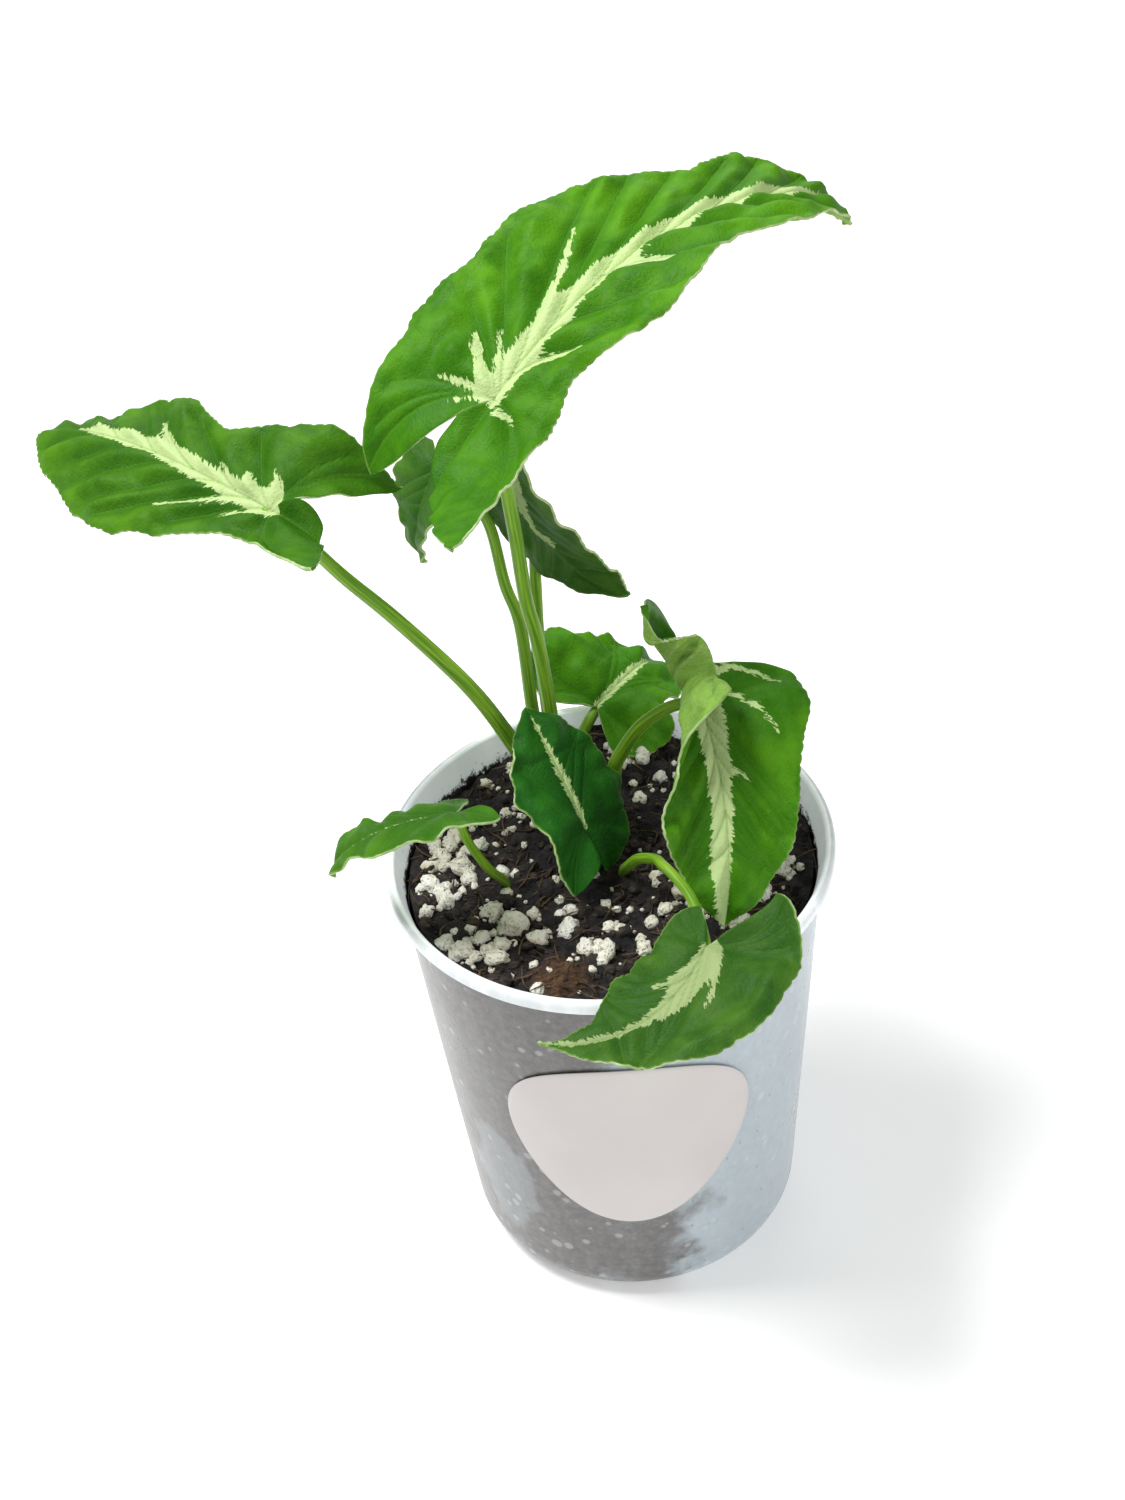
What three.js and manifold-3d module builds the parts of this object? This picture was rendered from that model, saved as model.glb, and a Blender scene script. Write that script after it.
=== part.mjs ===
import * as THREE from 'three';
import { mergeVertices } from 'three/addons/utils/BufferGeometryUtils.js';
import Module from 'manifold-3d';

// A small arrowhead vine in a clear nursery pot: nine leaf blades on nine stalks, potting mix with
// perlite, and a blank label on the front of the pot. Millimetres and degrees, +Z up. The origin is
// the centre of the pot's underside, and the front with the label faces -Y.

const wasm = await Module();
wasm.setup();

// Driving dimensions

const CLEARANCE = 0.3;
const DEG = Math.PI / 180;

const POT = {
  height: 100,
  rimRadius: 45,
  lipHeight: 2.8,
  lipWall: 2.1,
  lipRound: 0.9,
  lipShoulder: 2,
  wallRadiusAtFoot: 35,
  wallRadiusAtLip: 42.5,
  wall: 0.9,
  floor: 1.2,
  footRounding: 8,
  drainRadius: 2.5,
  drainCircle: 15,
  drains: 6,
  drillLength: 6,
  drillSides: 12,
  sides: 48,
  footSteps: 4,
};

const SOIL = {
  level: 94,
  // low swells of the surface: where, how high and how wide
  swells: [
    { at: [0, 36], height: 3, reach: 14 },
    { at: [30, 6], height: 1.5, reach: 14 },
    { at: [-28, 24], height: -1.5, reach: 12 },
    { at: [-11, -32], height: 3.2, reach: 6 },
    { at: [14, -22], height: 1.2, reach: 9 },
  ],
  crumb: 0.7,
  crumbLength: 7,
  // the plug ends this far in from its clearance to the wall, and straight up to this far below its top
  inset: 0.2,
  topInset: 0.4,
  shoulder: 6,
  rimDepth: 2,
  rings: 10,
  sides: 32,
  footSteps: 3,
  pitDepth: 9,
  pitGap: 0.35,
};

const PERLITE = {
  seed: 11,
  // larger grains lying on the mix: x, y and radius
  grains: [
    [-34, 6, 2.2], [-31, 12, 2.0], [-28, 17, 1.7], [-36, -2, 1.8], [-30, 2, 2.3], [-26, 8, 1.6],
    [-37, -10, 1.6], [-33, -7, 2.0], [-24, -12, 2.0], [-20, -16, 2.6], [-15, -20, 2.2], [-26, -19, 1.7],
    [-30, -22, 2.5], [-23, -25, 2.0], [-9, -17, 1.8], [-6, -24, 2.0], [-1, -19, 1.6], [5, -26, 1.8],
    [10, -15, 1.6], [13, -10, 1.8], [17, -16, 2.1], [9, -5, 1.5], [24, -20, 2.0], [29, -13, 2.2],
    [33, -6, 1.9], [35, 3, 1.6], [30, -25, 1.8], [14, 8, 1.7], [18, 16, 1.5], [12, 24, 1.6],
    [20, 27, 2.0], [6, 31, 1.7], [27, 24, 1.8], [-4, 33, 1.6], [-17, 30, 1.7],
  ],
  sunk: 0.45,
};

const LABEL = {
  centreTurn: -1,
  centreHeight: 54,
  halfWidth: 25.5,
  halfHeight: 24,
  // how far its three corners stand out, and how much wider it is above its middle than below
  corners: 0.07,
  widening: 0.1,
  thickness: 0.4,
  gap: 0.35,
  outlineSteps: 36,
  // the round sleeve from which the label is cut reaches this far past its outline
  sleevePast: 5,
  cutterDepth: 60,
  segments: 72,
};

const BLADE = {
  thickness: 0.7,
  rippleHeight: 0.5,
  rippleCount: 5,
  columns: 4,
  lobeRows: 6,
  // how bluntly the outer edge of a lobe rounds, from 0 for square to 1 for an arrow's
  bluntness: 0.6,
  sectionSteps: 48,
};

const STALK = { sides: 8, ringsPerLength: 0.16, fewestRings: 7, bladeGap: 0.4 };

// Each leaf: the blade leaves its junction along heading (turned from +X) and rise (above level),
// rolled so that a positive roll lifts its right side. droop bends it down and sweep bends it to the
// right along its length; twist turns it about its own midrib. widths are the half-widths at eighths
// of the length. fold lifts a half from the midrib, and curl turns it up on the way to the margin,
// each given at the junction, the middle and the tip; a bend above 1 holds the curl back to the margin,
// and a scroll adds to it near the junction only.
// A lobe runs back from the junction by length, with its tip out to the side; droop, sweep and twist bend
// it as they do the blade. The stalk runs from below the mix to the junction.
const LEAVES = {
  top: {
    junction: [-13.5, 15, 193.5], heading: 42, rise: 33, roll: 7, length: 104,
    droop: [46, 38], sweep: [20, -19], twist: -31,
    left: {
      widths: [23, 24, 24.5, 24, 18, 13, 14, 7], fold: [37, 9, 8], curl: [-29, -17, 2],
      lobe: { length: 13.5, out: 21, open: 0.6, droop: 59, fold: 37, curl: -2 },
    },
    right: {
      widths: [13.5, 11.5, 18.5, 17, 13.5, 16.5, 9.5, 8.5], fold: [-23, 23, 1], curl: [3, -7, -3],
      lobe: { length: 27.5, out: 33.5, open: -0.7, droop: 10, fold: 32, curl: -5 },
    },
    rows: 22,
    stalk: {
      radii: [1.5, 1.3],
      route: [
        [-9.5, 22, 96], [-9.4, 20.7, 118], [-10.5, 19.5, 137], [-11.8, 18.8, 147], [-12.4, 17.8, 162],
        [-13, 17, 173], [-13.3, 16.1, 184.5],
      ],
    },
    colour: 0x4f8a1e,
  },
  left: {
    junction: [-56.5, 15.5, 174.5], heading: 142, rise: 10, roll: 8, length: 75,
    droop: [22, 20], sweep: [10, -2], twist: -7,
    left: {
      widths: [8, 11, 15.5, 18, 18, 14.5, 11, 5.5], fold: [-26, -10, -4], curl: [38, -26, -7],
      lobe: { length: 15.5, out: 25.5, open: -0.8, droop: 30, fold: 52, curl: -1 },
    },
    right: {
      widths: [20.5, 16, 11, 13, 15, 11.5, 8, 4.5], fold: [33, 14, -25], curl: [-32, -14, -19],
      lobe: { length: 14.5, out: 24.5, open: 0.7, droop: 46, fold: -6, curl: -2 },
    },
    rows: 20,
    stalk: {
      radii: [2, 1],
      route: [
        [-10.7, 18, 96], [-17.1, 17.8, 112], [-24.6, 17.4, 128], [-36.3, 17, 145.5], [-45.3, 16.4, 157.5],
        [-51, 16, 166],
      ],
    },
    colour: 0x35702c,
  },
  behind: {
    junction: [-14.5, 32.5, 168.5], heading: 327, rise: -65, roll: 74, length: 40.5,
    droop: [-14, -35], sweep: [6, 5], twist: 23,
    left: {
      widths: [7, 10, 11, 10, 9.5, 8, 5.5, 3.5], fold: [-7, 11, -12], curl: [-24, -16, -13],
      lobe: { length: 2.5, out: 4.5, open: 0.4, droop: 32, fold: -21, curl: -23 },
    },
    right: {
      widths: [11, 10.5, 10.5, 11, 10, 8, 6.5, 4], fold: [1, 4, 9], curl: [-22, -21, 3],
      lobe: { length: 6, out: 11, open: 0.4, droop: 21, fold: 2, curl: -14 },
    },
    rows: 16,
    stalk: {
      radii: [1.4, 1],
      route: [
        [-9.5, 27, 97], [-10.3, 30, 114], [-10.5, 33, 128], [-10, 35, 140], [-9.8, 36.5, 150],
        [-12, 37, 160],
      ],
    },
    colour: 0x24582c,
  },
  narrow: {
    junction: [-26.5, 38, 167], heading: 213, rise: -48, roll: 5, length: 22,
    droop: [31, 30], sweep: [0, -1], twist: -14,
    left: {
      widths: [8, 8, 8, 8, 7.5, 5.5, 4.5, 3], fold: [10, 21, 11], curl: [-18, -8, 5],
      lobe: { length: 5, out: 4, open: 0.4, droop: 13, fold: 11, curl: -9 },
    },
    right: {
      widths: [8, 8, 8.5, 8, 7.5, 5, 5, 3], fold: [23, 15, 3], curl: [-12, -12, -1],
      lobe: { length: 4, out: 9, open: 0.4, droop: 37, fold: -3, curl: -20 },
    },
    rows: 12,
    stalk: {
      radii: [1.5, 0.9],
      route: [
        [-12.1, 25, 96], [-13.2, 27.6, 114], [-13.9, 30.6, 132.5], [-16.1, 32.1, 142], [-17.9, 33.8, 155],
        [-22, 36, 162],
      ],
    },
    colour: 0x3f7a24,
  },
  middle: {
    junction: [0, 41, 102], heading: 42, rise: 19, roll: -20, length: 24,
    droop: [34, 34], sweep: [-2, -3], twist: -3,
    left: {
      widths: [18.5, 20, 18.5, 14.5, 12.5, 11, 9, 4.5], fold: [20, 15, -7], curl: [-15, -11, -10],
      lobe: { length: 4, out: 11, open: 0.2, droop: -31, fold: -20, curl: 11 },
    },
    right: {
      widths: [16.5, 17.5, 16, 10.5, 12, 11, 8.5, 6.5], fold: [9, 16, -7], curl: [-17, -12, -9],
      lobe: { length: 5, out: 10, open: 0.7, droop: 32, fold: 19, curl: -8 },
    },
    rows: 14,
    stalk: {
      radii: [1.4, 1.1],
      route: [[-4.6, 37.5, 95], [-3.1, 38.6, 97.5], [-1.6, 39.7, 99.8]],
    },
    colour: 0x3a6b36,
  },
  front: {
    junction: [-4.5, -2, 106], heading: 119, rise: 50, roll: -21, length: 26.5,
    droop: [6, 9], sweep: [-4, 9], twist: 6,
    left: {
      widths: [12, 12, 12, 13, 11, 9.5, 7, 4.5], fold: [24, 5, 5], curl: [-16, -20, 0],
      lobe: { length: 11, out: 10, open: 0, droop: -6, fold: 15, curl: -30 },
    },
    right: {
      widths: [11, 12.5, 12.5, 11, 10.5, 9.5, 7.5, 4.5], fold: [9, 14, 3], curl: [-16, -14, -1],
      lobe: { length: 10.5, out: 5, open: 0, droop: 42, fold: 9, curl: -10 },
    },
    rows: 14,
    stalk: {
      radii: [1.3, 1],
      route: [[-3, 11, 96], [-3.2, 7, 99], [-3.8, 2, 103]],
    },
    colour: 0x1d4f22,
  },
  edge: {
    junction: [-28, -13.5, 122.5], heading: 193, rise: 5, roll: -11, length: 30.5,
    droop: [12, 68], sweep: [20, 11], twist: 4,
    left: {
      widths: [9.5, 9, 10, 7.5, 9, 5, 4.5, 3.5], fold: [24, 11, 14], curl: [-17, -16, 7],
      lobe: { length: 7, out: 6.5, open: 0.3, droop: -2, fold: 19, curl: -21 },
    },
    right: {
      widths: [8, 9.5, 8.5, 8.5, 5.5, 7.5, 6, 4], fold: [-1, 3, 18], curl: [-28, -23, 10],
      lobe: { length: 4.5, out: 9.5, open: 0.5, droop: 13, fold: -3, curl: -21 },
    },
    rows: 14,
    stalk: {
      radii: [1.1, 0.8],
      route: [[-21.2, -4, 95], [-23.4, -6, 100], [-25.2, -8.4, 106], [-27, -11, 113.5]],
    },
    colour: 0x447f2c,
  },
  right: {
    junction: [19.4, 6, 129.6], heading: 282, rise: -15.5, roll: 0, length: 47,
    droop: [46.5, 19.5], sweep: [9, 10], twist: -4,
    left: {
      widths: [20, 21, 18, 16, 14.5, 13, 9.5, 5.5], fold: [6.5, 2, 5], curl: [-16, -14, 0],
      lobe: { length: 6.5, out: 2, open: 0.4, droop: -26, fold: 11, curl: -22 },
    },
    right: {
      widths: [17.5, 26.5, 17.5, 13, 15, 13, 10, 6], fold: [35, 7, 12], curl: [150, 56, 0],
      bend: 1.4, scroll: { angle: 110, reach: 0.24 },
      lobe: {
        length: 34, out: 2.5, open: -0.05, droop: -135, sweep: -23, twist: -34, bluntness: 0.25,
        fold: 53, curl: 110,
      },
    },
    rows: 22,
    columns: 6,
    stalk: {
      radii: [1.7, 1.1],
      route: [
        [-0.4, 16, 97], [2.1, 14.3, 105], [3.1, 13.4, 109.5], [7.1, 11.3, 118], [10.3, 9.9, 122.5],
        [14.5, 8, 126.5],
      ],
    },
    colour: 0x3a7d28,
  },
  overhang: {
    junction: [16, -41.5, 109.5], heading: 246, rise: -10, roll: -4, length: 39.5,
    droop: [5, -2], sweep: [60, 32], twist: 8,
    left: {
      widths: [18, 17.5, 17.5, 15, 11.5, 7.5, 4, 1.5], fold: [2, 16, 8], curl: [-11, -13, 2],
      lobe: { length: 10, out: 12, open: 0.9, droop: 22, fold: 28, curl: 3 },
    },
    right: {
      widths: [9, 9.5, 10.5, 11, 11, 8, 4, 1.5], fold: [17, 4, 3], curl: [-27, -20, -1],
      lobe: { length: 8, out: 4, open: 0.5, droop: -8, fold: 10, curl: -14 },
    },
    rows: 16,
    stalk: {
      radii: [1.2, 1],
      route: [
        [2.6, -3, 94], [3.8, -7.2, 99.8], [5.8, -11.3, 105], [8.6, -15.7, 108.5], [9.8, -22.3, 112.8],
        [12, -25.9, 112.6], [14.4, -30, 111], [15.7, -36, 109.8],
      ],
    },
    colour: 0x2f6a26,
  },
};

// Colours and finishes

const clearPlastic = new THREE.MeshStandardMaterial({
  color: 0xb9c0c4, roughness: 0.4, metalness: 0, transparent: true, opacity: 0.6,
});
const pottingMix = new THREE.MeshStandardMaterial({ color: 0x2a2019, roughness: 0.95, metalness: 0 });
const labelPaper = new THREE.MeshStandardMaterial({ color: 0xeae4e2, roughness: 0.6, metalness: 0 });
const stalkGreen = new THREE.MeshStandardMaterial({ color: 0x7fa044, roughness: 0.5, metalness: 0 });
const leafGreen = (color) => new THREE.MeshStandardMaterial({ color, roughness: 0.55, metalness: 0 });

// Solids from closed meshes, and back

function toSolid(geometry) {
  const bare = geometry.clone();
  bare.deleteAttribute('normal');
  bare.deleteAttribute('uv');
  const merged = mergeVertices(bare, 1e-4);
  return new wasm.Manifold(new wasm.Mesh({
    numProp: 3,
    vertProperties: new Float32Array(merged.attributes.position.array),
    triVerts: new Uint32Array(merged.index.array),
  }));
}

function toGeometry(solid) {
  const mesh = solid.getMesh();
  const geometry = new THREE.BufferGeometry();
  geometry.setAttribute('position', new THREE.BufferAttribute(new Float32Array(mesh.vertProperties), 3));
  geometry.setIndex(new THREE.BufferAttribute(new Uint32Array(mesh.triVerts), 1));
  return geometry;
}

function fromTriangles(points, triangles) {
  const geometry = new THREE.BufferGeometry();
  const flat = points.flatMap((point) => [point.x, point.y, point.z]);
  geometry.setAttribute('position', new THREE.Float32BufferAttribute(flat, 3));
  geometry.setIndex(triangles.flat());
  return geometry;
}

// A profile turned about the +Z axis
function turned(profile, sides) {
  const geometry = new THREE.LatheGeometry(profile, sides);
  geometry.rotateX(Math.PI / 2);
  return toSolid(geometry);
}

const largestPiece = (solid) => solid.decompose().reduce((a, b) => (a.volume() > b.volume() ? a : b));

// The pot: a thin tapering wall with a rolled lip and drain holes round its floor

const wallRadius = (z) => {
  const taper = (POT.wallRadiusAtLip - POT.wallRadiusAtFoot) / (POT.height - POT.lipHeight);
  return POT.wallRadiusAtFoot + taper * z;
};

// The corner between the floor and the wall, with a given distance inside the outer skin
function footArc(inset, steps) {
  const radius = POT.footRounding - inset;
  const centre = new THREE.Vector2(wallRadius(POT.footRounding) - POT.footRounding, POT.footRounding);
  const points = [];
  for (let i = 0; i <= steps; i++) {
    const angle = (90 * i / steps) * DEG;
    const arm = new THREE.Vector2(Math.sin(angle), -Math.cos(angle)).multiplyScalar(radius);
    points.push(arm.add(centre));
  }
  return points;
}

function potGeometry() {
  const lipBottom = POT.height - POT.lipHeight;
  const lipInner = POT.rimRadius - POT.lipWall;
  const wallTop = wallRadius(lipBottom);
  const { lipRound } = POT;
  const outside = [
    new THREE.Vector2(0, 0),
    ...footArc(0, POT.footSteps),
    new THREE.Vector2(wallTop, lipBottom),
    new THREE.Vector2(POT.rimRadius - lipRound / 2, lipBottom),
    new THREE.Vector2(POT.rimRadius, lipBottom + lipRound),
    new THREE.Vector2(POT.rimRadius, POT.height - lipRound),
    new THREE.Vector2(POT.rimRadius - lipRound, POT.height),
  ];
  const inside = [
    new THREE.Vector2(lipInner + lipRound / 2, POT.height),
    new THREE.Vector2(lipInner, POT.height - lipRound),
    new THREE.Vector2(wallTop - POT.wall, lipBottom - POT.lipShoulder),
    ...footArc(POT.floor, POT.footSteps).reverse(),
    new THREE.Vector2(0, POT.floor),
  ];
  let pot = turned([...outside, ...inside], POT.sides);
  const { drainRadius, drillLength, drillSides } = POT;
  for (let i = 0; i < POT.drains; i++) {
    const angle = (i + 0.5) / POT.drains * 2 * Math.PI;
    const drill = new THREE.CylinderGeometry(drainRadius, drainRadius, drillLength, drillSides);
    drill.rotateX(Math.PI / 2);
    drill.translate(POT.drainCircle * Math.cos(angle), POT.drainCircle * Math.sin(angle), 0);
    pot = pot.subtract(toSolid(drill));
  }
  return toGeometry(pot);
}

// The mix: a plug of soil with an uneven top, perlite grains set in it and a pit for each stalk

const swell = (x, y, { at, height, reach }) => {
  const distance = Math.hypot(x - at[0], y - at[1]) / reach;
  return height * Math.exp(-distance * distance);
};

function soilHeight(x, y) {
  const length = SOIL.crumbLength;
  const crumb = Math.sin(x / length * 5.1 + 1.3) * Math.cos(y / length * 4.3 + 0.4)
    + 0.6 * Math.sin((x + y) / length * 7.7) * Math.cos((x - y) / length * 6.1 + 2);
  return SOIL.swells.reduce((z, one) => z + swell(x, y, one), SOIL.level) + SOIL.crumb * crumb;
}

function soilPlug() {
  const outline = footArc(POT.floor + CLEARANCE, SOIL.footSteps);
  const points = [new THREE.Vector3(0, 0, POT.floor + CLEARANCE)];
  const triangles = [];
  const ring = (radius, height) => {
    const first = points.length;
    for (let j = 0; j < SOIL.sides; j++) {
      const angle = j / SOIL.sides * 2 * Math.PI;
      const x = radius * Math.cos(angle);
      const y = radius * Math.sin(angle);
      points.push(new THREE.Vector3(x, y, height(x, y)));
    }
    return first;
  };
  const join = (lower, upper) => {
    for (let j = 0; j < SOIL.sides; j++) {
      const next = (j + 1) % SOIL.sides;
      triangles.push([lower + j, lower + next, upper + next], [lower + j, upper + next, upper + j]);
    }
  };
  // the plug's sides run inside the flats between the pot's own corners
  const flat = Math.cos(Math.PI / POT.sides);
  const rings = outline.map((point) => ring(point.x * flat - SOIL.inset, () => point.y));
  const edge = (z) => (wallRadius(z) - POT.wall) * flat - CLEARANCE - SOIL.inset;
  const shoulder = SOIL.level - SOIL.shoulder;
  rings.push(ring(edge(shoulder), () => shoulder));
  const topRadius = edge(SOIL.level - SOIL.rimDepth) - SOIL.topInset;
  for (let i = SOIL.rings; i > 0; i--) {
    const radius = topRadius * Math.sqrt(i / SOIL.rings);
    rings.push(ring(radius, soilHeight));
  }
  for (let i = 1; i < rings.length; i++) {
    join(rings[i - 1], rings[i]);
  }
  const top = points.push(new THREE.Vector3(0, 0, soilHeight(0, 0))) - 1;
  const last = rings[rings.length - 1];
  for (let j = 0; j < SOIL.sides; j++) {
    const next = (j + 1) % SOIL.sides;
    triangles.push([rings[0] + next, rings[0] + j, 0], [last + j, last + next, top]);
  }
  return toSolid(fromTriangles(points, triangles));
}

// A repeatable stream of numbers from 0 to 1
function numbers(seed) {
  let state = seed;
  return () => {
    state = (state * 16807) % 2147483647;
    return state / 2147483647;
  };
}

function perliteGrains() {
  const next = numbers(PERLITE.seed);
  return PERLITE.grains.map(([x, y, radius]) => {
    const grain = new THREE.IcosahedronGeometry(radius, 0);
    grain.scale(0.85 + 0.3 * next(), 0.85 + 0.3 * next(), 0.75 + 0.2 * next());
    grain.rotateZ(next() * Math.PI);
    grain.rotateX(next());
    grain.translate(x, y, soilHeight(x, y) + radius * (1 - 2 * PERLITE.sunk));
    return toSolid(grain);
  });
}

function soilGeometry(pits) {
  let soil = soilPlug();
  perliteGrains().forEach((grain) => {
    soil = soil.add(grain);
  });
  pits.forEach((pit) => {
    soil = soil.subtract(pit);
  });
  return toGeometry(largestPiece(soil));
}

// The label: a rounded triangle lying on the pot's front, pointing down

function labelOutline() {
  const points = [];
  for (let i = 0; i < LABEL.outlineSteps; i++) {
    const angle = i / LABEL.outlineSteps * 2 * Math.PI;
    const pull = 1 + LABEL.corners * Math.sin(3 * angle);
    const across = LABEL.halfWidth * Math.cos(angle) * pull * (1 + LABEL.widening * Math.sin(angle));
    const up = LABEL.halfHeight * Math.sin(angle) * pull;
    points.push(new THREE.Vector2(across, up));
  }
  return points;
}

function labelGeometry() {
  const inner = (z) => wallRadius(z) + LABEL.gap;
  const low = LABEL.centreHeight - LABEL.halfHeight - LABEL.sleevePast;
  const high = LABEL.centreHeight + LABEL.halfHeight + LABEL.sleevePast;
  const sleeve = turned([
    new THREE.Vector2(inner(low), low),
    new THREE.Vector2(inner(low) + LABEL.thickness, low),
    new THREE.Vector2(inner(high) + LABEL.thickness, high),
    new THREE.Vector2(inner(high), high),
    new THREE.Vector2(inner(low), low),
  ], LABEL.segments);
  // The outline is wider in the flat than seen from the front, so it is cut from the front as seen
  const reach = inner(LABEL.centreHeight);
  const seen = labelOutline().map((point) => (
    new THREE.Vector2(reach * Math.sin(point.x / reach), point.y)
  ));
  const cutter = new THREE.ExtrudeGeometry(new THREE.Shape(seen), {
    depth: LABEL.cutterDepth, bevelEnabled: false,
  });
  cutter.rotateX(Math.PI / 2);
  cutter.translate(0, 0, LABEL.centreHeight);
  cutter.rotateZ(LABEL.centreTurn * DEG);
  return toGeometry(sleeve.intersect(toSolid(cutter)));
}

// Leaf blades

function startFrame({ heading, rise, roll, junction }) {
  const [h, e, r] = [heading * DEG, rise * DEG, roll * DEG];
  const ahead = new THREE.Vector3(Math.cos(e) * Math.cos(h), Math.cos(e) * Math.sin(h), Math.sin(e));
  const across = new THREE.Vector3(Math.sin(h), -Math.cos(h), 0).applyAxisAngle(ahead, -r);
  const up = new THREE.Vector3().crossVectors(across, ahead);
  return { at: new THREE.Vector3(...junction), ahead, across, up };
}

// The frame a little further along, bent down, swept right and twisted
function stepFrame(frame, distance, down, right, twist) {
  const ahead = frame.ahead.clone().applyAxisAngle(frame.across, -down * DEG);
  const up = new THREE.Vector3().crossVectors(frame.across, ahead);
  const across = frame.across.clone().applyAxisAngle(up, -right * DEG);
  ahead.applyAxisAngle(up, -right * DEG);
  across.applyAxisAngle(ahead, -twist * DEG);
  up.crossVectors(across, ahead);
  return { at: frame.at.clone().addScaledVector(ahead, distance), ahead, across, up };
}

// Catmull-Rom through the widths at eighths of the length, closing to a point at the tip
function halfWidth(widths, x) {
  const stations = [...widths, 0];
  const last = stations.length - 1;
  const place = Math.min(Math.max(x, 0), 1) * last;
  const i = Math.min(Math.floor(place), last - 1);
  const t = place - i;
  const before = i > 0 ? stations[i - 1] : 2 * stations[0] - stations[1];
  const after = i + 2 <= last ? stations[i + 2] : -0.6 * stations[last - 1];
  const [a, b] = [stations[i], stations[i + 1]];
  const bend = (2 * before - 5 * a + 4 * b - after) * t * t + (3 * a - before - 3 * b + after) * t * t * t;
  return Math.max(0, 0.5 * (2 * a + (b - before) * t + bend));
}

// A value given at the junction, the middle and the tip
const between = ([first, middle, last], x) => (
  first + (middle - first) * 2 * x + (first - 2 * middle + last) * 2 * x * (x - 0.5)
);

// Points across one half, from inner to outer, on a line that leaves the midrib at fold and turns by
// curl on its way to the outer edge
function sectionPoints(frame, sign, inner, outer, fold, curl, bend, columns, lift) {
  const steps = BLADE.sectionSteps;
  const reach = Math.max(outer, 0.001);
  const walk = [[0, 0]];
  const angle = (f) => (fold + curl * f ** bend) * DEG;
  for (let i = 1; i <= steps; i++) {
    const middle = angle((i - 0.5) / steps);
    const [x, y] = walk[i - 1];
    walk.push([x + Math.cos(middle) * reach / steps, y + Math.sin(middle) * reach / steps]);
  }
  const points = [];
  for (let j = 0; j <= columns; j++) {
    const u = inner + (outer - inner) * j / columns;
    const place = Math.max(0, u) / reach * steps;
    const i = Math.min(Math.floor(place), steps - 1);
    const t = place - i;
    let x = walk[i][0] + (walk[i + 1][0] - walk[i][0]) * t;
    let y = walk[i][1] + (walk[i + 1][1] - walk[i][1]) * t;
    if (u < 0) {
      x = u * Math.cos(fold * DEG);
      y = u * Math.sin(fold * DEG);
    }
    y += lift * (Math.max(0, u) / reach) ** 2;
    points.push(frame.at.clone().addScaledVector(frame.across, sign * x).addScaledVector(frame.up, y));
  }
  return points;
}

// One half of a blade as rows of points, from the lobe's tip to the leaf's tip
function halfRows(leaf, side) {
  const half = leaf[side];
  const sign = side === 'left' ? -1 : 1;
  const columns = leaf.columns ?? BLADE.columns;
  const bend = half.bend ?? 1;
  const ripple = (x) => BLADE.rippleHeight * Math.sin(2 * Math.PI * (BLADE.rippleCount * x) + sign);
  const scroll = half.scroll ?? { angle: 0, reach: 1 };
  const curl = (x) => between(half.curl, x) + scroll.angle * Math.exp(-((x / scroll.reach) ** 4));
  const start = startFrame(leaf);
  const main = [];
  let frame = start;
  for (let i = 0; i <= leaf.rows; i++) {
    const x = i / leaf.rows;
    if (i > 0) {
      const last = (i - 1) / leaf.rows;
      const bent = ([even, growing]) => even * (x - last) + growing * (x * x - last * last);
      const twist = leaf.twist * (x - last);
      frame = stepFrame(frame, leaf.length * (x - last), bent(leaf.droop), bent(leaf.sweep), twist);
    }
    const width = i === leaf.rows ? 0 : halfWidth(half.widths, x);
    const fold = between(half.fold, x);
    main.push(sectionPoints(frame, sign, 0, width, fold, curl(x), bend, columns, ripple(x)));
  }
  const { lobe } = half;
  const { sweep = 0, twist = 0, bluntness = BLADE.bluntness } = lobe;
  const back = [];
  frame = start;
  let last = 0;
  for (let i = 1; i <= BLADE.lobeRows; i++) {
    const y = Math.sin(i / BLADE.lobeRows * Math.PI / 2);
    const step = y - last;
    frame = stepFrame(frame, -lobe.length * step, -lobe.droop * step, sweep * step, twist * step);
    last = y;
    const round = Math.max(0, 1 - y * y);
    const outer = lobe.out + (half.widths[0] - lobe.out) * round ** bluntness;
    const inner = lobe.out * (lobe.open * y + (1 - lobe.open) * (1 - Math.sqrt(round)));
    const fold = half.fold[0] + (lobe.fold - half.fold[0]) * y;
    const turn = curl(0) + (lobe.curl - curl(0)) * y;
    back.push(sectionPoints(frame, sign, inner, outer, fold, turn, bend, columns, ripple(0) * round));
  }
  return [...back.reverse(), ...main];
}

// The blade's middle surface as shared points and triangles facing up
function bladeSurface(leaf) {
  const points = [];
  const triangles = [];
  const found = new Map();
  const number = (point) => {
    const key = [point.x, point.y, point.z].map((value) => Math.round(value * 1000)).join();
    if (!found.has(key)) {
      found.set(key, points.push(point) - 1);
    }
    return found.get(key);
  };
  for (const side of ['left', 'right']) {
    const rows = halfRows(leaf, side).map((row) => row.map(number));
    for (let i = 1; i < rows.length; i++) {
      for (let j = 1; j < rows[i].length; j++) {
        const [a, b] = [rows[i - 1][j - 1], rows[i][j - 1]];
        const [c, d] = [rows[i][j], rows[i - 1][j]];
        const pair = side === 'right' ? [[a, c, b], [a, d, c]] : [[a, b, c], [a, c, d]];
        triangles.push(...pair.filter(([p, q, r]) => p !== q && q !== r && r !== p));
      }
    }
  }
  return { points, triangles };
}

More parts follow.
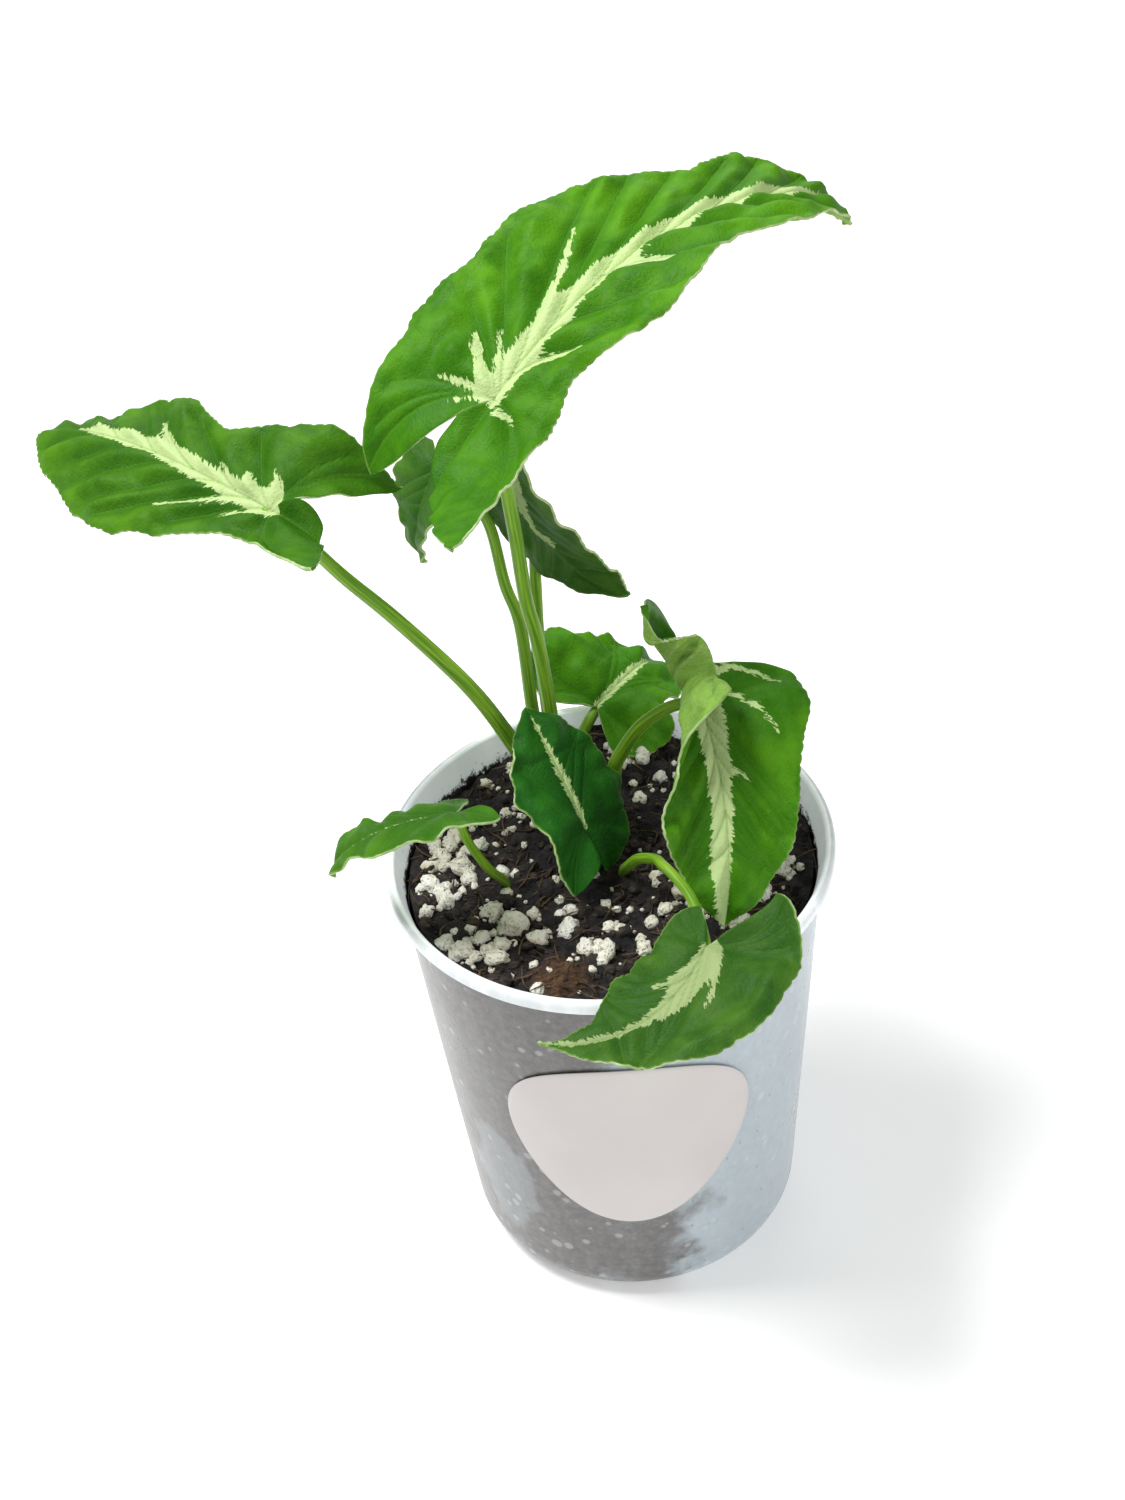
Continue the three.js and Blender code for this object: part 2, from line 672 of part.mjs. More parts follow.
// A closed blade: the middle surface moved both ways along its normals, and its edge walled in
function bladeGeometry(leaf, thickness) {
  const { points, triangles } = bladeSurface(leaf);
  const middle = fromTriangles(points, triangles);
  middle.computeVertexNormals();
  const { normal } = middle.attributes;
  const shifted = (sign) => points.map((point, i) => (
    point.clone().addScaledVector(new THREE.Vector3().fromBufferAttribute(normal, i), sign * thickness / 2)
  ));
  const count = points.length;
  const all = [...shifted(1), ...shifted(-1)];
  const faces = [...triangles, ...triangles.map(([a, b, c]) => [a + count, c + count, b + count])];
  const edges = new Set(triangles.flatMap(([a, b, c]) => [`${a},${b}`, `${b},${c}`, `${c},${a}`]));
  for (const edge of edges) {
    const [a, b] = edge.split(',').map(Number);
    if (!edges.has(`${b},${a}`)) {
      faces.push([b, a, a + count], [b, a + count, b + count]);
    }
  }
  return fromTriangles(all, faces);
}

// Stalks

function stalkPath(leaf) {
  const start = startFrame(leaf);
  const [foot] = leaf.stalk.route;
  const buried = new THREE.Vector3(foot[0], foot[1], foot[2] - SOIL.pitDepth);
  const tip = start.at.clone().addScaledVector(start.up, -BLADE.thickness / 2);
  const points = [buried, ...leaf.stalk.route.map((point) => new THREE.Vector3(...point)), tip];
  return new THREE.CatmullRomCurve3(points, false, 'centripetal');
}

// A round tapering tube, grown sideways and at its foot by swell
function stalkGeometry(leaf, swellBy = 0) {
  const path = stalkPath(leaf);
  const rings = Math.max(STALK.fewestRings, Math.round(path.getLength() * STALK.ringsPerLength));
  const { normals, binormals } = path.computeFrenetFrames(rings, false);
  const [footRadius, topRadius] = leaf.stalk.radii;
  const points = [];
  const triangles = [];
  for (let i = 0; i <= rings; i++) {
    const u = i / rings;
    const centre = path.getPointAt(u);
    if (i === 0) {
      centre.z -= swellBy;
    }
    const radius = (footRadius + (topRadius - footRadius) * u + swellBy) / Math.cos(Math.PI / STALK.sides);
    for (let j = 0; j < STALK.sides; j++) {
      const angle = j / STALK.sides * 2 * Math.PI;
      points.push(centre.clone()
        .addScaledVector(normals[i], radius * Math.cos(angle))
        .addScaledVector(binormals[i], radius * Math.sin(angle)));
    }
  }
  for (let i = 0; i < rings; i++) {
    for (let j = 0; j < STALK.sides; j++) {
      const next = (j + 1) % STALK.sides;
      const [a, b] = [i * STALK.sides + j, i * STALK.sides + next];
      triangles.push([a, b, b + STALK.sides], [a, b + STALK.sides, a + STALK.sides]);
    }
  }
  const top = rings * STALK.sides;
  for (let j = 1; j < STALK.sides - 1; j++) {
    triangles.push([0, j + 1, j], [top, top + j, top + j + 1]);
  }
  return fromTriangles(points, triangles);
}

// A stalk stops just under its own blade
function trimmedStalk(leaf) {
  const stalk = toSolid(stalkGeometry(leaf));
  const gap = STALK.bladeGap;
  const blade = toSolid(bladeGeometry(leaf, BLADE.thickness + 2 * gap));
  const { ahead, across } = startFrame(leaf);
  const shifts = [[0, 0], [1, 0], [-1, 0], [0, 1], [0, -1]];
  const rooms = shifts.map(([a, b]) => {
    const shift = ahead.clone().multiplyScalar(a * gap).addScaledVector(across, b * gap);
    return blade.translate(shift.toArray());
  });
  const pieces = rooms.reduce((left, room) => left.subtract(room), stalk).decompose();
  const lowest = (piece) => piece.boundingBox().min[2];
  return toGeometry(pieces.reduce((a, b) => (lowest(a) < lowest(b) ? a : b)));
}

// The whole plant in its pot

const plant = new THREE.Group();

function addPiece(name, geometry, material) {
  const mesh = new THREE.Mesh(geometry, material);
  mesh.name = name;
  plant.add(mesh);
}

const pits = Object.values(LEAVES).map((leaf) => toSolid(stalkGeometry(leaf, SOIL.pitGap)));

addPiece('nursery_pot', potGeometry(), clearPlastic);
addPiece('potting_mix', soilGeometry(pits), pottingMix);
addPiece('front_label', labelGeometry(), labelPaper);
for (const [name, leaf] of Object.entries(LEAVES)) {
  addPiece(`leaf_${name}`, bladeGeometry(leaf, BLADE.thickness), leafGreen(leaf.colour));
  addPiece(`stalk_${name}`, trimmedStalk(leaf), stalkGreen);
}

export default plant;
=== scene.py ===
"""A small arrowhead vine in a frosted nursery pot, laid out as a Blender add-on.

Sizes in the tables and settings are millimetres and degrees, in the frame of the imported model: +Z up,
the origin at the centre of the pot's underside, and the front of the pot facing -Y.
"""

import math
import random
from collections import namedtuple
from contextlib import contextmanager

import bpy
import numpy as np
from mathutils import Matrix, Vector, noise


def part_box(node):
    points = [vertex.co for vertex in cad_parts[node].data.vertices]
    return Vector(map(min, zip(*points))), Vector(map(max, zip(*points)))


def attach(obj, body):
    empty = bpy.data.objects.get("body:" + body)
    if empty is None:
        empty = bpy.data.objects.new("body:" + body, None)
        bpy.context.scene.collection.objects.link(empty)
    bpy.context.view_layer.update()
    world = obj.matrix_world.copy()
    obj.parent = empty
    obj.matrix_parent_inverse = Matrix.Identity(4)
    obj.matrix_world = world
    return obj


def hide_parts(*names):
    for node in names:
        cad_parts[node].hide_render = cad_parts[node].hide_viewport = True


bl_info = {
    "name": "Arrowhead Vine in a Nursery Pot",
    "version": (1, 0, 0),
    "blender": (4, 5, 0),
    "location": "3D View > Sidebar > Plant",
    "description": "Builds a potted arrowhead vine leaf by leaf around its solid model",
    "category": "Add Mesh",
}

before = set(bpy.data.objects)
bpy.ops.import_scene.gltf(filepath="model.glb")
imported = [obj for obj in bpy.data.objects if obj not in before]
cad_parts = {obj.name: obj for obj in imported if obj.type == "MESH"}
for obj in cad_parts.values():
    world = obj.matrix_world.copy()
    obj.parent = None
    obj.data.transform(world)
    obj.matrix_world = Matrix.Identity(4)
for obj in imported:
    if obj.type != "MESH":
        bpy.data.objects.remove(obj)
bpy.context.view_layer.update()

MM = 0.001
DEG = math.pi / 180

# The photograph's camera, in millimetres and pixels of the photograph
CAMERA = {
    "at": (0, -326.72, 392.69),
    "right": (0.99615, -0.04130, -0.07731),
    "up": (0.08595, 0.63329, 0.76913),
    "focal_pixels": 2200.5,
    "picture_height": 1500,
    "sensor": 36,
}

POT_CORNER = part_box("nursery_pot")[1] / MM
POT = {
    "height": POT_CORNER.z,
    "rim_radius": POT_CORNER.x,
    "lip_height": 2.8,
    "lip_wall": 2.1,
    "foot_radius": 35,
    "neck_radius": 42.5,
    "wall": 0.9,
    "floor": 1.2,
    "foot_rounding": 8,
    "drain_radius": 2.5,
    "drain_circle": 15,
    "drains": 6,
}
# How much the wall's radius grows for each millimetre up
POT_TAPER = (POT["neck_radius"] - POT["foot_radius"]) / (POT["height"] - POT["lip_height"])

SOIL = {"level": 94, "crumb": 0.7, "crumb_length": 7, "roughness": 0.9}
# Low swells of the mix: x, y, height and reach
SWELLS = [(0, 36, 3, 14), (30, 6, 1.5, 14), (-28, 24, -1.5, 12), (-11, -32, 3.2, 6), (14, -22, 1.2, 9)]

# Larger perlite grains: x, y and radius
LARGE_GRAINS = [
    (-34, 6, 2.2), (-31, 12, 2.0), (-28, 17, 1.7), (-36, -2, 1.8), (-30, 2, 2.3), (-26, 8, 1.6),
    (-37, -10, 1.6), (-33, -7, 2.0), (-24, -12, 2.0), (-20, -16, 2.6), (-15, -20, 2.2), (-26, -19, 1.7),
    (-30, -22, 2.5), (-23, -25, 2.0), (-9, -17, 1.8), (-6, -24, 2.0), (-1, -19, 1.6), (5, -26, 1.8),
    (10, -15, 1.6), (13, -10, 1.8), (17, -16, 2.1), (9, -5, 1.5), (24, -20, 2.0), (29, -13, 2.2),
    (33, -6, 1.9), (35, 3, 1.6), (30, -25, 1.8), (14, 8, 1.7), (18, 16, 1.5), (12, 24, 1.6),
    (20, 27, 2.0), (6, 31, 1.7), (27, 24, 1.8), (-4, 33, 1.6), (-17, 30, 1.7),
]

LABEL = {
    "turn": -1, "tilt": -2, "height": 54, "half_width": 25, "half_height": 25, "gap": 0.35,
    "corners": 0.03, "widening": 0.1,
}

SIDES = {"left": -1, "right": 1}


def alike(values):
    """The same values on both sides of a midrib"""
    return dict.fromkeys(SIDES, values)


# Each leaf as in the solid model, then its pattern in the leaf's own plan, across from the midrib and
# along from the junction: the half-widths of the cream stripe at eighths of the length (below 0 there is
# no cream), its branches as side, start, control and end of a curve and the half-widths at both ends, and
# the side veins as where each leaves the midrib, how far out it ends and how far along, or their number
# A leaf's tone picks its green: the bright tone is partly painted light, and the dull and dark tones are
# painted shade
LEAVES = {
    "top": {
        "junction": (-13.5, 15, 193.5), "heading": 42, "rise": 33, "roll": 7, "length": 104,
        "droop": (46, 38), "sweep": (20, -19), "twist": -31,
        "left": {
            "widths": (23, 24, 24.5, 24, 18, 13, 14, 7), "fold": (37, 9, 8), "curl": (-29, -17, 2),
            "lobe": {"length": 13.5, "out": 21, "open": 0.6, "droop": 59, "fold": 37, "curl": -2},
        },
        "right": {
            "widths": (13.5, 11.5, 18.5, 17, 13.5, 16.5, 9.5, 8.5), "fold": (-23, 23, 1),
            "curl": (3, -7, -3),
            "lobe": {"length": 27.5, "out": 33.5, "open": -0.7, "droop": 10, "fold": 32, "curl": -5},
        },
        "stalk": {
            "radii": (1.5, 1.3),
            "route": [
                (-9.5, 22, 96), (-9.4, 20.7, 118), (-10.5, 19.5, 137), (-11.8, 18.8, 147),
                (-12.4, 17.8, 162), (-13, 17, 173), (-13.3, 16.1, 184.5),
            ],
        },
        "stripe": {
            "left": (2.2, 3.2, 3.0, 2.6, 2.3, 2.5, 2.3, 1.4, 0.2),
            "right": (1.6, 2.3, 2.2, 2.3, 2.0, 1.8, 1.6, 1.1, 0.2),
        },
        "branches": [
            ("left", (0, 0.5), (5, 2.5), (11, 8), 1.7, 0.4),
            ("left", (0, 1.5), (3, 6), (7.5, 11), 0.9, 0.3),
            ("left", (0, 6), (1.5, 20), (12.5, 35), 1.9, 0.5), ("left", (0, 0), (4, 1), (12, -1), 1.3, 0.1),
            ("left", (0, 0), (3, -1), (8, -3.5), 0.9, 0.1), ("right", (0, 4), (1, 8), (8, 16.5), 1.7, 0.3),
            ("right", (0, 31), (3, 36.5), (13.5, 48), 2.2, 0.4),
            ("right", (2.5, -2), (4, -1), (6, -2.5), 0.9, 0.2),
        ],
        "veins": {
            "left": [
                (0.5, 17, 13), (1.5, 23, 27), (6, 25, 51), (17, 24, 61), (28, 18, 66), (42, 13, 73),
                (56, 13, 84), (70, 8, 94),
            ],
            "right": [(4, 13, 24), (14, 18, 39), (31, 14, 49), (44, 15, 66), (57, 13, 78), (70, 9, 90)],
        },
        "tone": "bright", "slot": "leaf_bright",
    },
    "left": {
        "junction": (-56.5, 15.5, 174.5), "heading": 142, "rise": 10, "roll": 8, "length": 75,
        "droop": (22, 20), "sweep": (10, -2), "twist": -7,
        "left": {
            "widths": (8, 11, 15.5, 18, 18, 14.5, 11, 5.5), "fold": (-26, -10, -4),
            "curl": (38, -26, -7),
            "lobe": {"length": 15.5, "out": 25.5, "open": -0.8, "droop": 30, "fold": 52, "curl": -1},
        },
        "right": {
            "widths": (20.5, 16, 11, 13, 15, 11.5, 8, 4.5), "fold": (33, 14, -25),
            "curl": (-32, -14, -19),
            "lobe": {"length": 14.5, "out": 24.5, "open": 0.7, "droop": 46, "fold": -6, "curl": -2},
        },
        "stalk": {
            "radii": (2, 1),
            "route": [
                (-10.7, 18, 96), (-17.1, 17.8, 112), (-24.6, 17.4, 128), (-36.3, 17, 145.5),
                (-45.3, 16.4, 157.5), (-51, 16, 166),
            ],
        },
        "stripe": {
            "left": (1.3, 1.6, 1.8, 1, 0.9, 1.1, -0.5, -1, -1),
            "right": (3.6, 2.1, 2, 3, 2.3, 1.9, 0, -1, -1),
        },
        "branches": [
            ("left", (0, 4.5), (1.5, 8.5), (9.5, 22), 1.1, 0.3),
            ("left", (0, -0.5), (2, 2.5), (6, 8.5), 1.1, 0.2),
            ("right", (0, 19), (1, 27), (7.3, 35.5), 1.9, 0.4),
            ("right", (0, 0), (3.5, 0), (6.8, 3), 1.6, 0.3), ("right", (0, 2), (2, 5), (4, 8), 1, 0.2),
            ("right", (0, 8), (1.5, 11), (3.8, 14.5), 0.9, 0.2),
        ],
        "veins": {
            "left": [(-0.5, 11, 17), (4.5, 17, 35), (13, 18, 43), (23, 16, 51), (34, 13, 58), (46, 7, 66)],
            "right": [(0, 14, 13), (8, 11, 27), (19, 13, 44), (30, 15, 50), (41, 11, 58), (52, 7, 68)],
        },
        "tone": "green", "slot": "leaf_green",
    },
    "behind": {
        "junction": (-14.5, 32.5, 168.5), "heading": 327, "rise": -65, "roll": 74, "length": 40.5,
        "droop": (-14, -35), "sweep": (6, 5), "twist": 23,
        "left": {
            "widths": (7, 10, 11, 10, 9.5, 8, 5.5, 3.5), "fold": (-7, 11, -12), "curl": (-24, -16, -13),
            "lobe": {"length": 2.5, "out": 4.5, "open": 0.4, "droop": 32, "fold": -21, "curl": -23},
        },
        "right": {
            "widths": (11, 10.5, 10.5, 11, 10, 8, 6.5, 4), "fold": (1, 4, 9), "curl": (-22, -21, 3),
            "lobe": {"length": 6, "out": 11, "open": 0.4, "droop": 21, "fold": 2, "curl": -14},
        },
        "stalk": {
            "radii": (1.4, 1),
            "route": [
                (-9.5, 27, 97), (-10.3, 30, 114), (-10.5, 33, 128), (-10, 35, 140), (-9.8, 36.5, 150),
                (-12, 37, 160),
            ],
        },
        "stripe": {
            "left": (0.5, -0.2, 1.5, 1.6, -1, -1, -1, -1, -1),
            "right": (3.2, 3.4, 0.9, -0.5, -1, -1, -1, -1, -1),
        },
        "branches": [("right", (0.2, 17), (0.4, 18), (0.5, 19.5), 1.1, 0.4)],
        "veins": 5,
        "turned_over": True, "tone": "dull", "slot": "leaf_dark",
    },
    "narrow": {
        "junction": (-26.5, 38, 167), "heading": 213, "rise": -48, "roll": 5, "length": 22,
        "droop": (31, 30), "sweep": (0, -1), "twist": -14,
        "left": {
            "widths": (8, 8, 8, 8, 7.5, 5.5, 4.5, 3), "fold": (10, 21, 11), "curl": (-18, -8, 5),
            "lobe": {"length": 5, "out": 4, "open": 0.4, "droop": 13, "fold": 11, "curl": -9},
        },
        "right": {
            "widths": (8, 8, 8.5, 8, 7.5, 5, 5, 3), "fold": (23, 15, 3), "curl": (-12, -12, -1),
            "lobe": {"length": 4, "out": 9, "open": 0.4, "droop": 37, "fold": -3, "curl": -20},
        },
        "stalk": {
            "radii": (1.5, 0.9),
            "route": [
                (-12.1, 25, 96), (-13.2, 27.6, 114), (-13.9, 30.6, 132.5), (-16.1, 32.1, 142),
                (-17.9, 33.8, 155), (-22, 36, 162),
            ],
        },
        "stripe": alike((-1, -1, -1, -1, -1, -1, -1, -1, -1)),
        "branches": [],
        "veins": 4,
        "tone": "dull", "slot": "leaf_green",
    },
    "middle": {
        "junction": (0, 41, 102), "heading": 42, "rise": 19, "roll": -20, "length": 24,
        "droop": (34, 34), "sweep": (-2, -3), "twist": -3,
        "left": {
            "widths": (18.5, 20, 18.5, 14.5, 12.5, 11, 9, 4.5), "fold": (20, 15, -7),
            "curl": (-15, -11, -10),
            "lobe": {"length": 4, "out": 11, "open": 0.2, "droop": -31, "fold": -20, "curl": 11},
        },
        "right": {
            "widths": (16.5, 17.5, 16, 10.5, 12, 11, 8.5, 6.5), "fold": (9, 16, -7),
            "curl": (-17, -12, -9),
            "lobe": {"length": 5, "out": 10, "open": 0.7, "droop": 32, "fold": 19, "curl": -8},
        },
        "stalk": {
            "radii": (1.4, 1.1),
            "route": [(-4.6, 37.5, 95), (-3.1, 38.6, 97.5), (-1.6, 39.7, 99.8)],
        },
        "stripe": {
            "left": (0.9, 1, 1.1, 1.2, 1.2, 1.1, 0.7, 0.2, -1),
            "right": (0.9, 1, 1.1, 1.3, 1.3, 1.1, 0.7, 0.2, -1),
        },
        "branches": [],
        "veins": 5,
        "tone": "bright", "slot": "leaf_dark",
    },
    "front": {
        "junction": (-4.5, -2, 106), "heading": 119, "rise": 50, "roll": -21, "length": 26.5,
        "droop": (6, 9), "sweep": (-4, 9), "twist": 6,
        "left": {
            "widths": (12, 12, 12, 13, 11, 9.5, 7, 4.5), "fold": (24, 5, 5), "curl": (-16, -20, 0),
            "lobe": {"length": 11, "out": 10, "open": 0, "droop": -6, "fold": 15, "curl": -30},
        },
        "right": {
            "widths": (11, 12.5, 12.5, 11, 10.5, 9.5, 7.5, 4.5), "fold": (9, 14, 3),
            "curl": (-16, -14, -1),
            "lobe": {"length": 10.5, "out": 5, "open": 0, "droop": 42, "fold": 9, "curl": -10},
        },
        "stalk": {
            "radii": (1.3, 1),
            "route": [(-3, 11, 96), (-3.2, 7, 99), (-3.8, 2, 103)],
        },
        "stripe": alike((0.7, 0.9, 1, 1.1, 1, 0.8, 0.6, 0.3, -0.5)),
        "branches": [],
        "veins": 4,
        "tone": "dark", "slot": "leaf_dark",
    },
    "edge": {
        "junction": (-28, -13.5, 122.5), "heading": 193, "rise": 5, "roll": -11, "length": 30.5,
        "droop": (12, 68), "sweep": (20, 11), "twist": 4,
        "left": {
            "widths": (9.5, 9, 10, 7.5, 9, 5, 4.5, 3.5), "fold": (24, 11, 14), "curl": (-17, -16, 7),
            "lobe": {"length": 7, "out": 6.5, "open": 0.3, "droop": -2, "fold": 19, "curl": -21},
        },
        "right": {
            "widths": (8, 9.5, 8.5, 8.5, 5.5, 7.5, 6, 4), "fold": (-1, 3, 18), "curl": (-28, -23, 10),
            "lobe": {"length": 4.5, "out": 9.5, "open": 0.5, "droop": 13, "fold": -3, "curl": -21},
        },
        "stalk": {
            "radii": (1.1, 0.8),
            "route": [(-21.2, -4, 95), (-23.4, -6, 100), (-25.2, -8.4, 106), (-27, -11, 113.5)],
        },
        "stripe": alike((-0.3, -0.2, 0, 0, 0, 0, -0.2, -0.5, -1)),
        "branches": [],
        "veins": 5,
        "tone": "green", "slot": "leaf_bright",
    },
    "right": {
        "junction": (19.4, 6, 129.6), "heading": 282, "rise": -15.5, "roll": 0, "length": 47,
        "droop": (46.5, 19.5), "sweep": (9, 10), "twist": -4,
        "left": {
            "widths": (20, 21, 18, 16, 14.5, 13, 9.5, 5.5), "fold": (6.5, 2, 5), "curl": (-16, -14, 0),
            "lobe": {"length": 6.5, "out": 2, "open": 0.4, "droop": -26, "fold": 11, "curl": -22},
        },
        "right": {
            "widths": (17.5, 26.5, 17.5, 13, 15, 13, 10, 6), "fold": (35, 7, 12), "curl": (150, 56, 0),
            "bend": 1.4, "scroll": (110, 0.24),
            "lobe": {
                "length": 34, "out": 2.5, "open": -0.05, "droop": -135, "sweep": -23, "twist": -34,
                "bluntness": 0.25, "fold": 53, "curl": 110,
            },
        },
        "stalk": {
            "radii": (1.7, 1.1),
            "route": [
                (-0.4, 16, 97), (2.1, 14.3, 105), (3.1, 13.4, 109.5), (7.1, 11.3, 118),
                (10.3, 9.9, 122.5), (14.5, 8, 126.5),
            ],
        },
        "stripe": {
            "left": (3.5, 3.8, 3.0, 2.0, 1.4, 1.0, 0.3, 0, -0.5),
            "right": (2.7, 2.7, 2.7, 2.7, 2.7, 3.4, 3.6, 3.0, 1.5),
        },
        "branches": [
            ("left", (4, 0), (8.6, 0.8), (12.6, 10.6), 0.8, 0.3),
            ("left", (5, -5), (12, -5), (16.6, 0.8), 0.8, 0.25),
            ("left", (2, 16.5), (4, 16.5), (5.5, 19), 0.8, 0.2),
            ("left", (5.5, -5), (6.5, -5.5), (7.1, -6.5), 0.7, 0.2),
        ],
        "veins": 6,
        "tone": "bright", "slot": "leaf_green",
    },
    "overhang": {
        "junction": (16, -41.5, 109.5), "heading": 246, "rise": -10, "roll": -4, "length": 39.5,
        "droop": (5, -2), "sweep": (60, 32), "twist": 8,
        "left": {
            "widths": (18, 17.5, 17.5, 15, 11.5, 7.5, 4, 1.5), "fold": (2, 16, 8), "curl": (-11, -13, 2),
            "lobe": {"length": 10, "out": 12, "open": 0.9, "droop": 22, "fold": 28, "curl": 3},
        },
        "right": {
            "widths": (9, 9.5, 10.5, 11, 11, 8, 4, 1.5), "fold": (17, 4, 3), "curl": (-27, -20, -1),
            "lobe": {"length": 8, "out": 4, "open": 0.5, "droop": -8, "fold": 10, "curl": -14},
        },
        "stalk": {
            "radii": (1.2, 1),
            "route": [
                (2.6, -3, 94), (3.8, -7.2, 99.8), (5.8, -11.3, 105), (8.6, -15.7, 108.5),
                (9.8, -22.3, 112.8), (12, -25.9, 112.6), (14.4, -30, 111), (15.7, -36, 109.8),
            ],
        },
        "stripe": {
            "left": (3.2, 4.6, 3.9, 2.9, 1.5, 0.6, 0.3, 0.2, 0.1),
            "right": (0.9, 1.3, 1.8, 1.2, 0.8, 0.7, 1, 0.6, 0.2),
        },
        "branches": [
            ("left", (3.5, 4), (5.5, 6.5), (7.4, 11), 0.9, 0.3),
            ("right", (1.2, 7), (2.2, 10), (4.2, 12.6), 0.9, 0.3),
        ],
        "veins": 5,
        "tone": "dull", "slot": "leaf_green",
    },
}


# Settings that a user would change


class BladeSettings(bpy.types.PropertyGroup):
    thickness: bpy.props.FloatProperty(
        name="Thickness", description="Thickness of a blade", default=0.5 * MM, subtype="DISTANCE",
    )
    spacing: bpy.props.FloatProperty(
        name="Spacing", description="Distance between a blade's points", default=0.5 * MM,
        subtype="DISTANCE",
    )
    quilting: bpy.props.FloatProperty(
        name="Quilting", description="Height that the blade swells between its side veins",
        default=2.4 * MM, subtype="DISTANCE",
    )
    tooth: bpy.props.FloatProperty(
        name="Scallop", description="Depth of the scallops along the margin", default=0.36 * MM,
        subtype="DISTANCE",
    )
    tooth_pitch: bpy.props.FloatProperty(
        name="Scallop Pitch", description="Distance from scallop to scallop", default=1.9 * MM,
        subtype="DISTANCE",
    )
    # Bright, Dull and Dark Green are lit and shaded copies of one green: Bright Green is partly the young
    # blades' own lighter colour and partly painted light on blades that catch more light, Dull Green is
    # painted shade on the blades behind, and Dark Green is painted shade on the shaded blades
    bright: bpy.props.FloatVectorProperty(
        name="Bright Green", description="Colour of the youngest blades", default=(0.054, 0.215, 0.003),
        subtype="COLOR",
    )
    green: bpy.props.FloatVectorProperty(
        name="Green", description="Colour of the grown blades", default=(0.045, 0.168, 0.004),
        subtype="COLOR",
    )
    dull: bpy.props.FloatVectorProperty(
        name="Dull Green", description="Colour of the blades behind", default=(0.043, 0.138, 0.010),
        subtype="COLOR",
    )
    dark: bpy.props.FloatVectorProperty(
        name="Dark Green", description="Colour of the shaded blades", default=(0.016, 0.122, 0.006),
        subtype="COLOR",
    )
    cream: bpy.props.FloatVectorProperty(
        name="Cream", description="Colour of the stripe along the midrib", default=(0.55, 0.70, 0.31),
        subtype="COLOR",
    )
    underside: bpy.props.FloatVectorProperty(
        name="Underside", description="Colour of a blade's underside", default=(0.25, 0.46, 0.07),
        subtype="COLOR",
    )


class PotSettings(bpy.types.PropertyGroup):
    sides: bpy.props.IntProperty(
        name="Sides", description="Number of sides of the round pot", default=160,
    )
    haze: bpy.props.FloatVectorProperty(
        name="Haze", description="Colour of the frosted wall", default=(0.39, 0.46, 0.50),
        subtype="COLOR",
    )
    wet: bpy.props.FloatVectorProperty(
        name="Wet Mix", description="Colour of the wall where wet mix lies against it",
        default=(0.062, 0.051, 0.047), subtype="COLOR",
    )
    rim: bpy.props.FloatVectorProperty(
        name="Rim", description="Colour of the rolled rim", default=(0.66, 0.71, 0.72), subtype="COLOR",
    )
    label: bpy.props.FloatVectorProperty(
        name="Label", description="Colour of the label", default=(0.60, 0.56, 0.545), subtype="COLOR",
    )


class MixSettings(bpy.types.PropertyGroup):
    seed: bpy.props.IntProperty(name="Seed", description="Seed of every random draw", default=7)
    small_grains: bpy.props.IntProperty(
        name="Small Grains", description="Number of small perlite grains", default=420,
    )
    crumbs: bpy.props.IntProperty(
        name="Crumbs", description="Number of loose crumbs of peat", default=900,
    )
    fibres: bpy.props.IntProperty(
        name="Fibres", description="Number of peat fibres", default=420,
    )
    peat: bpy.props.FloatVectorProperty(
        name="Peat", description="Colour of the moist peat", default=(0.009, 0.0085, 0.011),
        subtype="COLOR",
    )
    perlite: bpy.props.FloatVectorProperty(
        name="Perlite", description="Colour of the perlite", default=(0.82, 0.79, 0.68),
        subtype="COLOR",
    )


# Shader arithmetic


class Value:
    """A shader socket. Arithmetic on it adds Math nodes to its material."""

    def __init__(self, paint, socket):
        self.paint = paint
        self.socket = socket

    def math(self, operation, *values):
        return self.paint.node("ShaderNodeMath", values, operation=operation)

    def __add__(self, other):
        return self.math("ADD", self, other)

    __radd__ = __add__

    def __sub__(self, other):
        return self.math("SUBTRACT", self, other)

    def __rsub__(self, other):
        return self.math("SUBTRACT", other, self)

    def __mul__(self, other):
        return self.math("MULTIPLY", self, other)

    __rmul__ = __mul__

    def above(self, low, high):
        """0 under low and 1 over high, smooth between"""
        return self.paint.node(
            "ShaderNodeMapRange", {"Value": self, "From Min": low, "From Max": high},
            interpolation_type="SMOOTHSTEP",
        )

    def below(self, low, high):
        """1 under low and 0 over high, smooth between"""
        return 1 - self.above(low, high)

    def greater(self, other):
        """The greater of two values"""
        return self.math("MAXIMUM", self, other)

    def part(self, number):
        """One of a vector's three numbers"""
        return self.paint.node("ShaderNodeSeparateXYZ", [self], out=number)


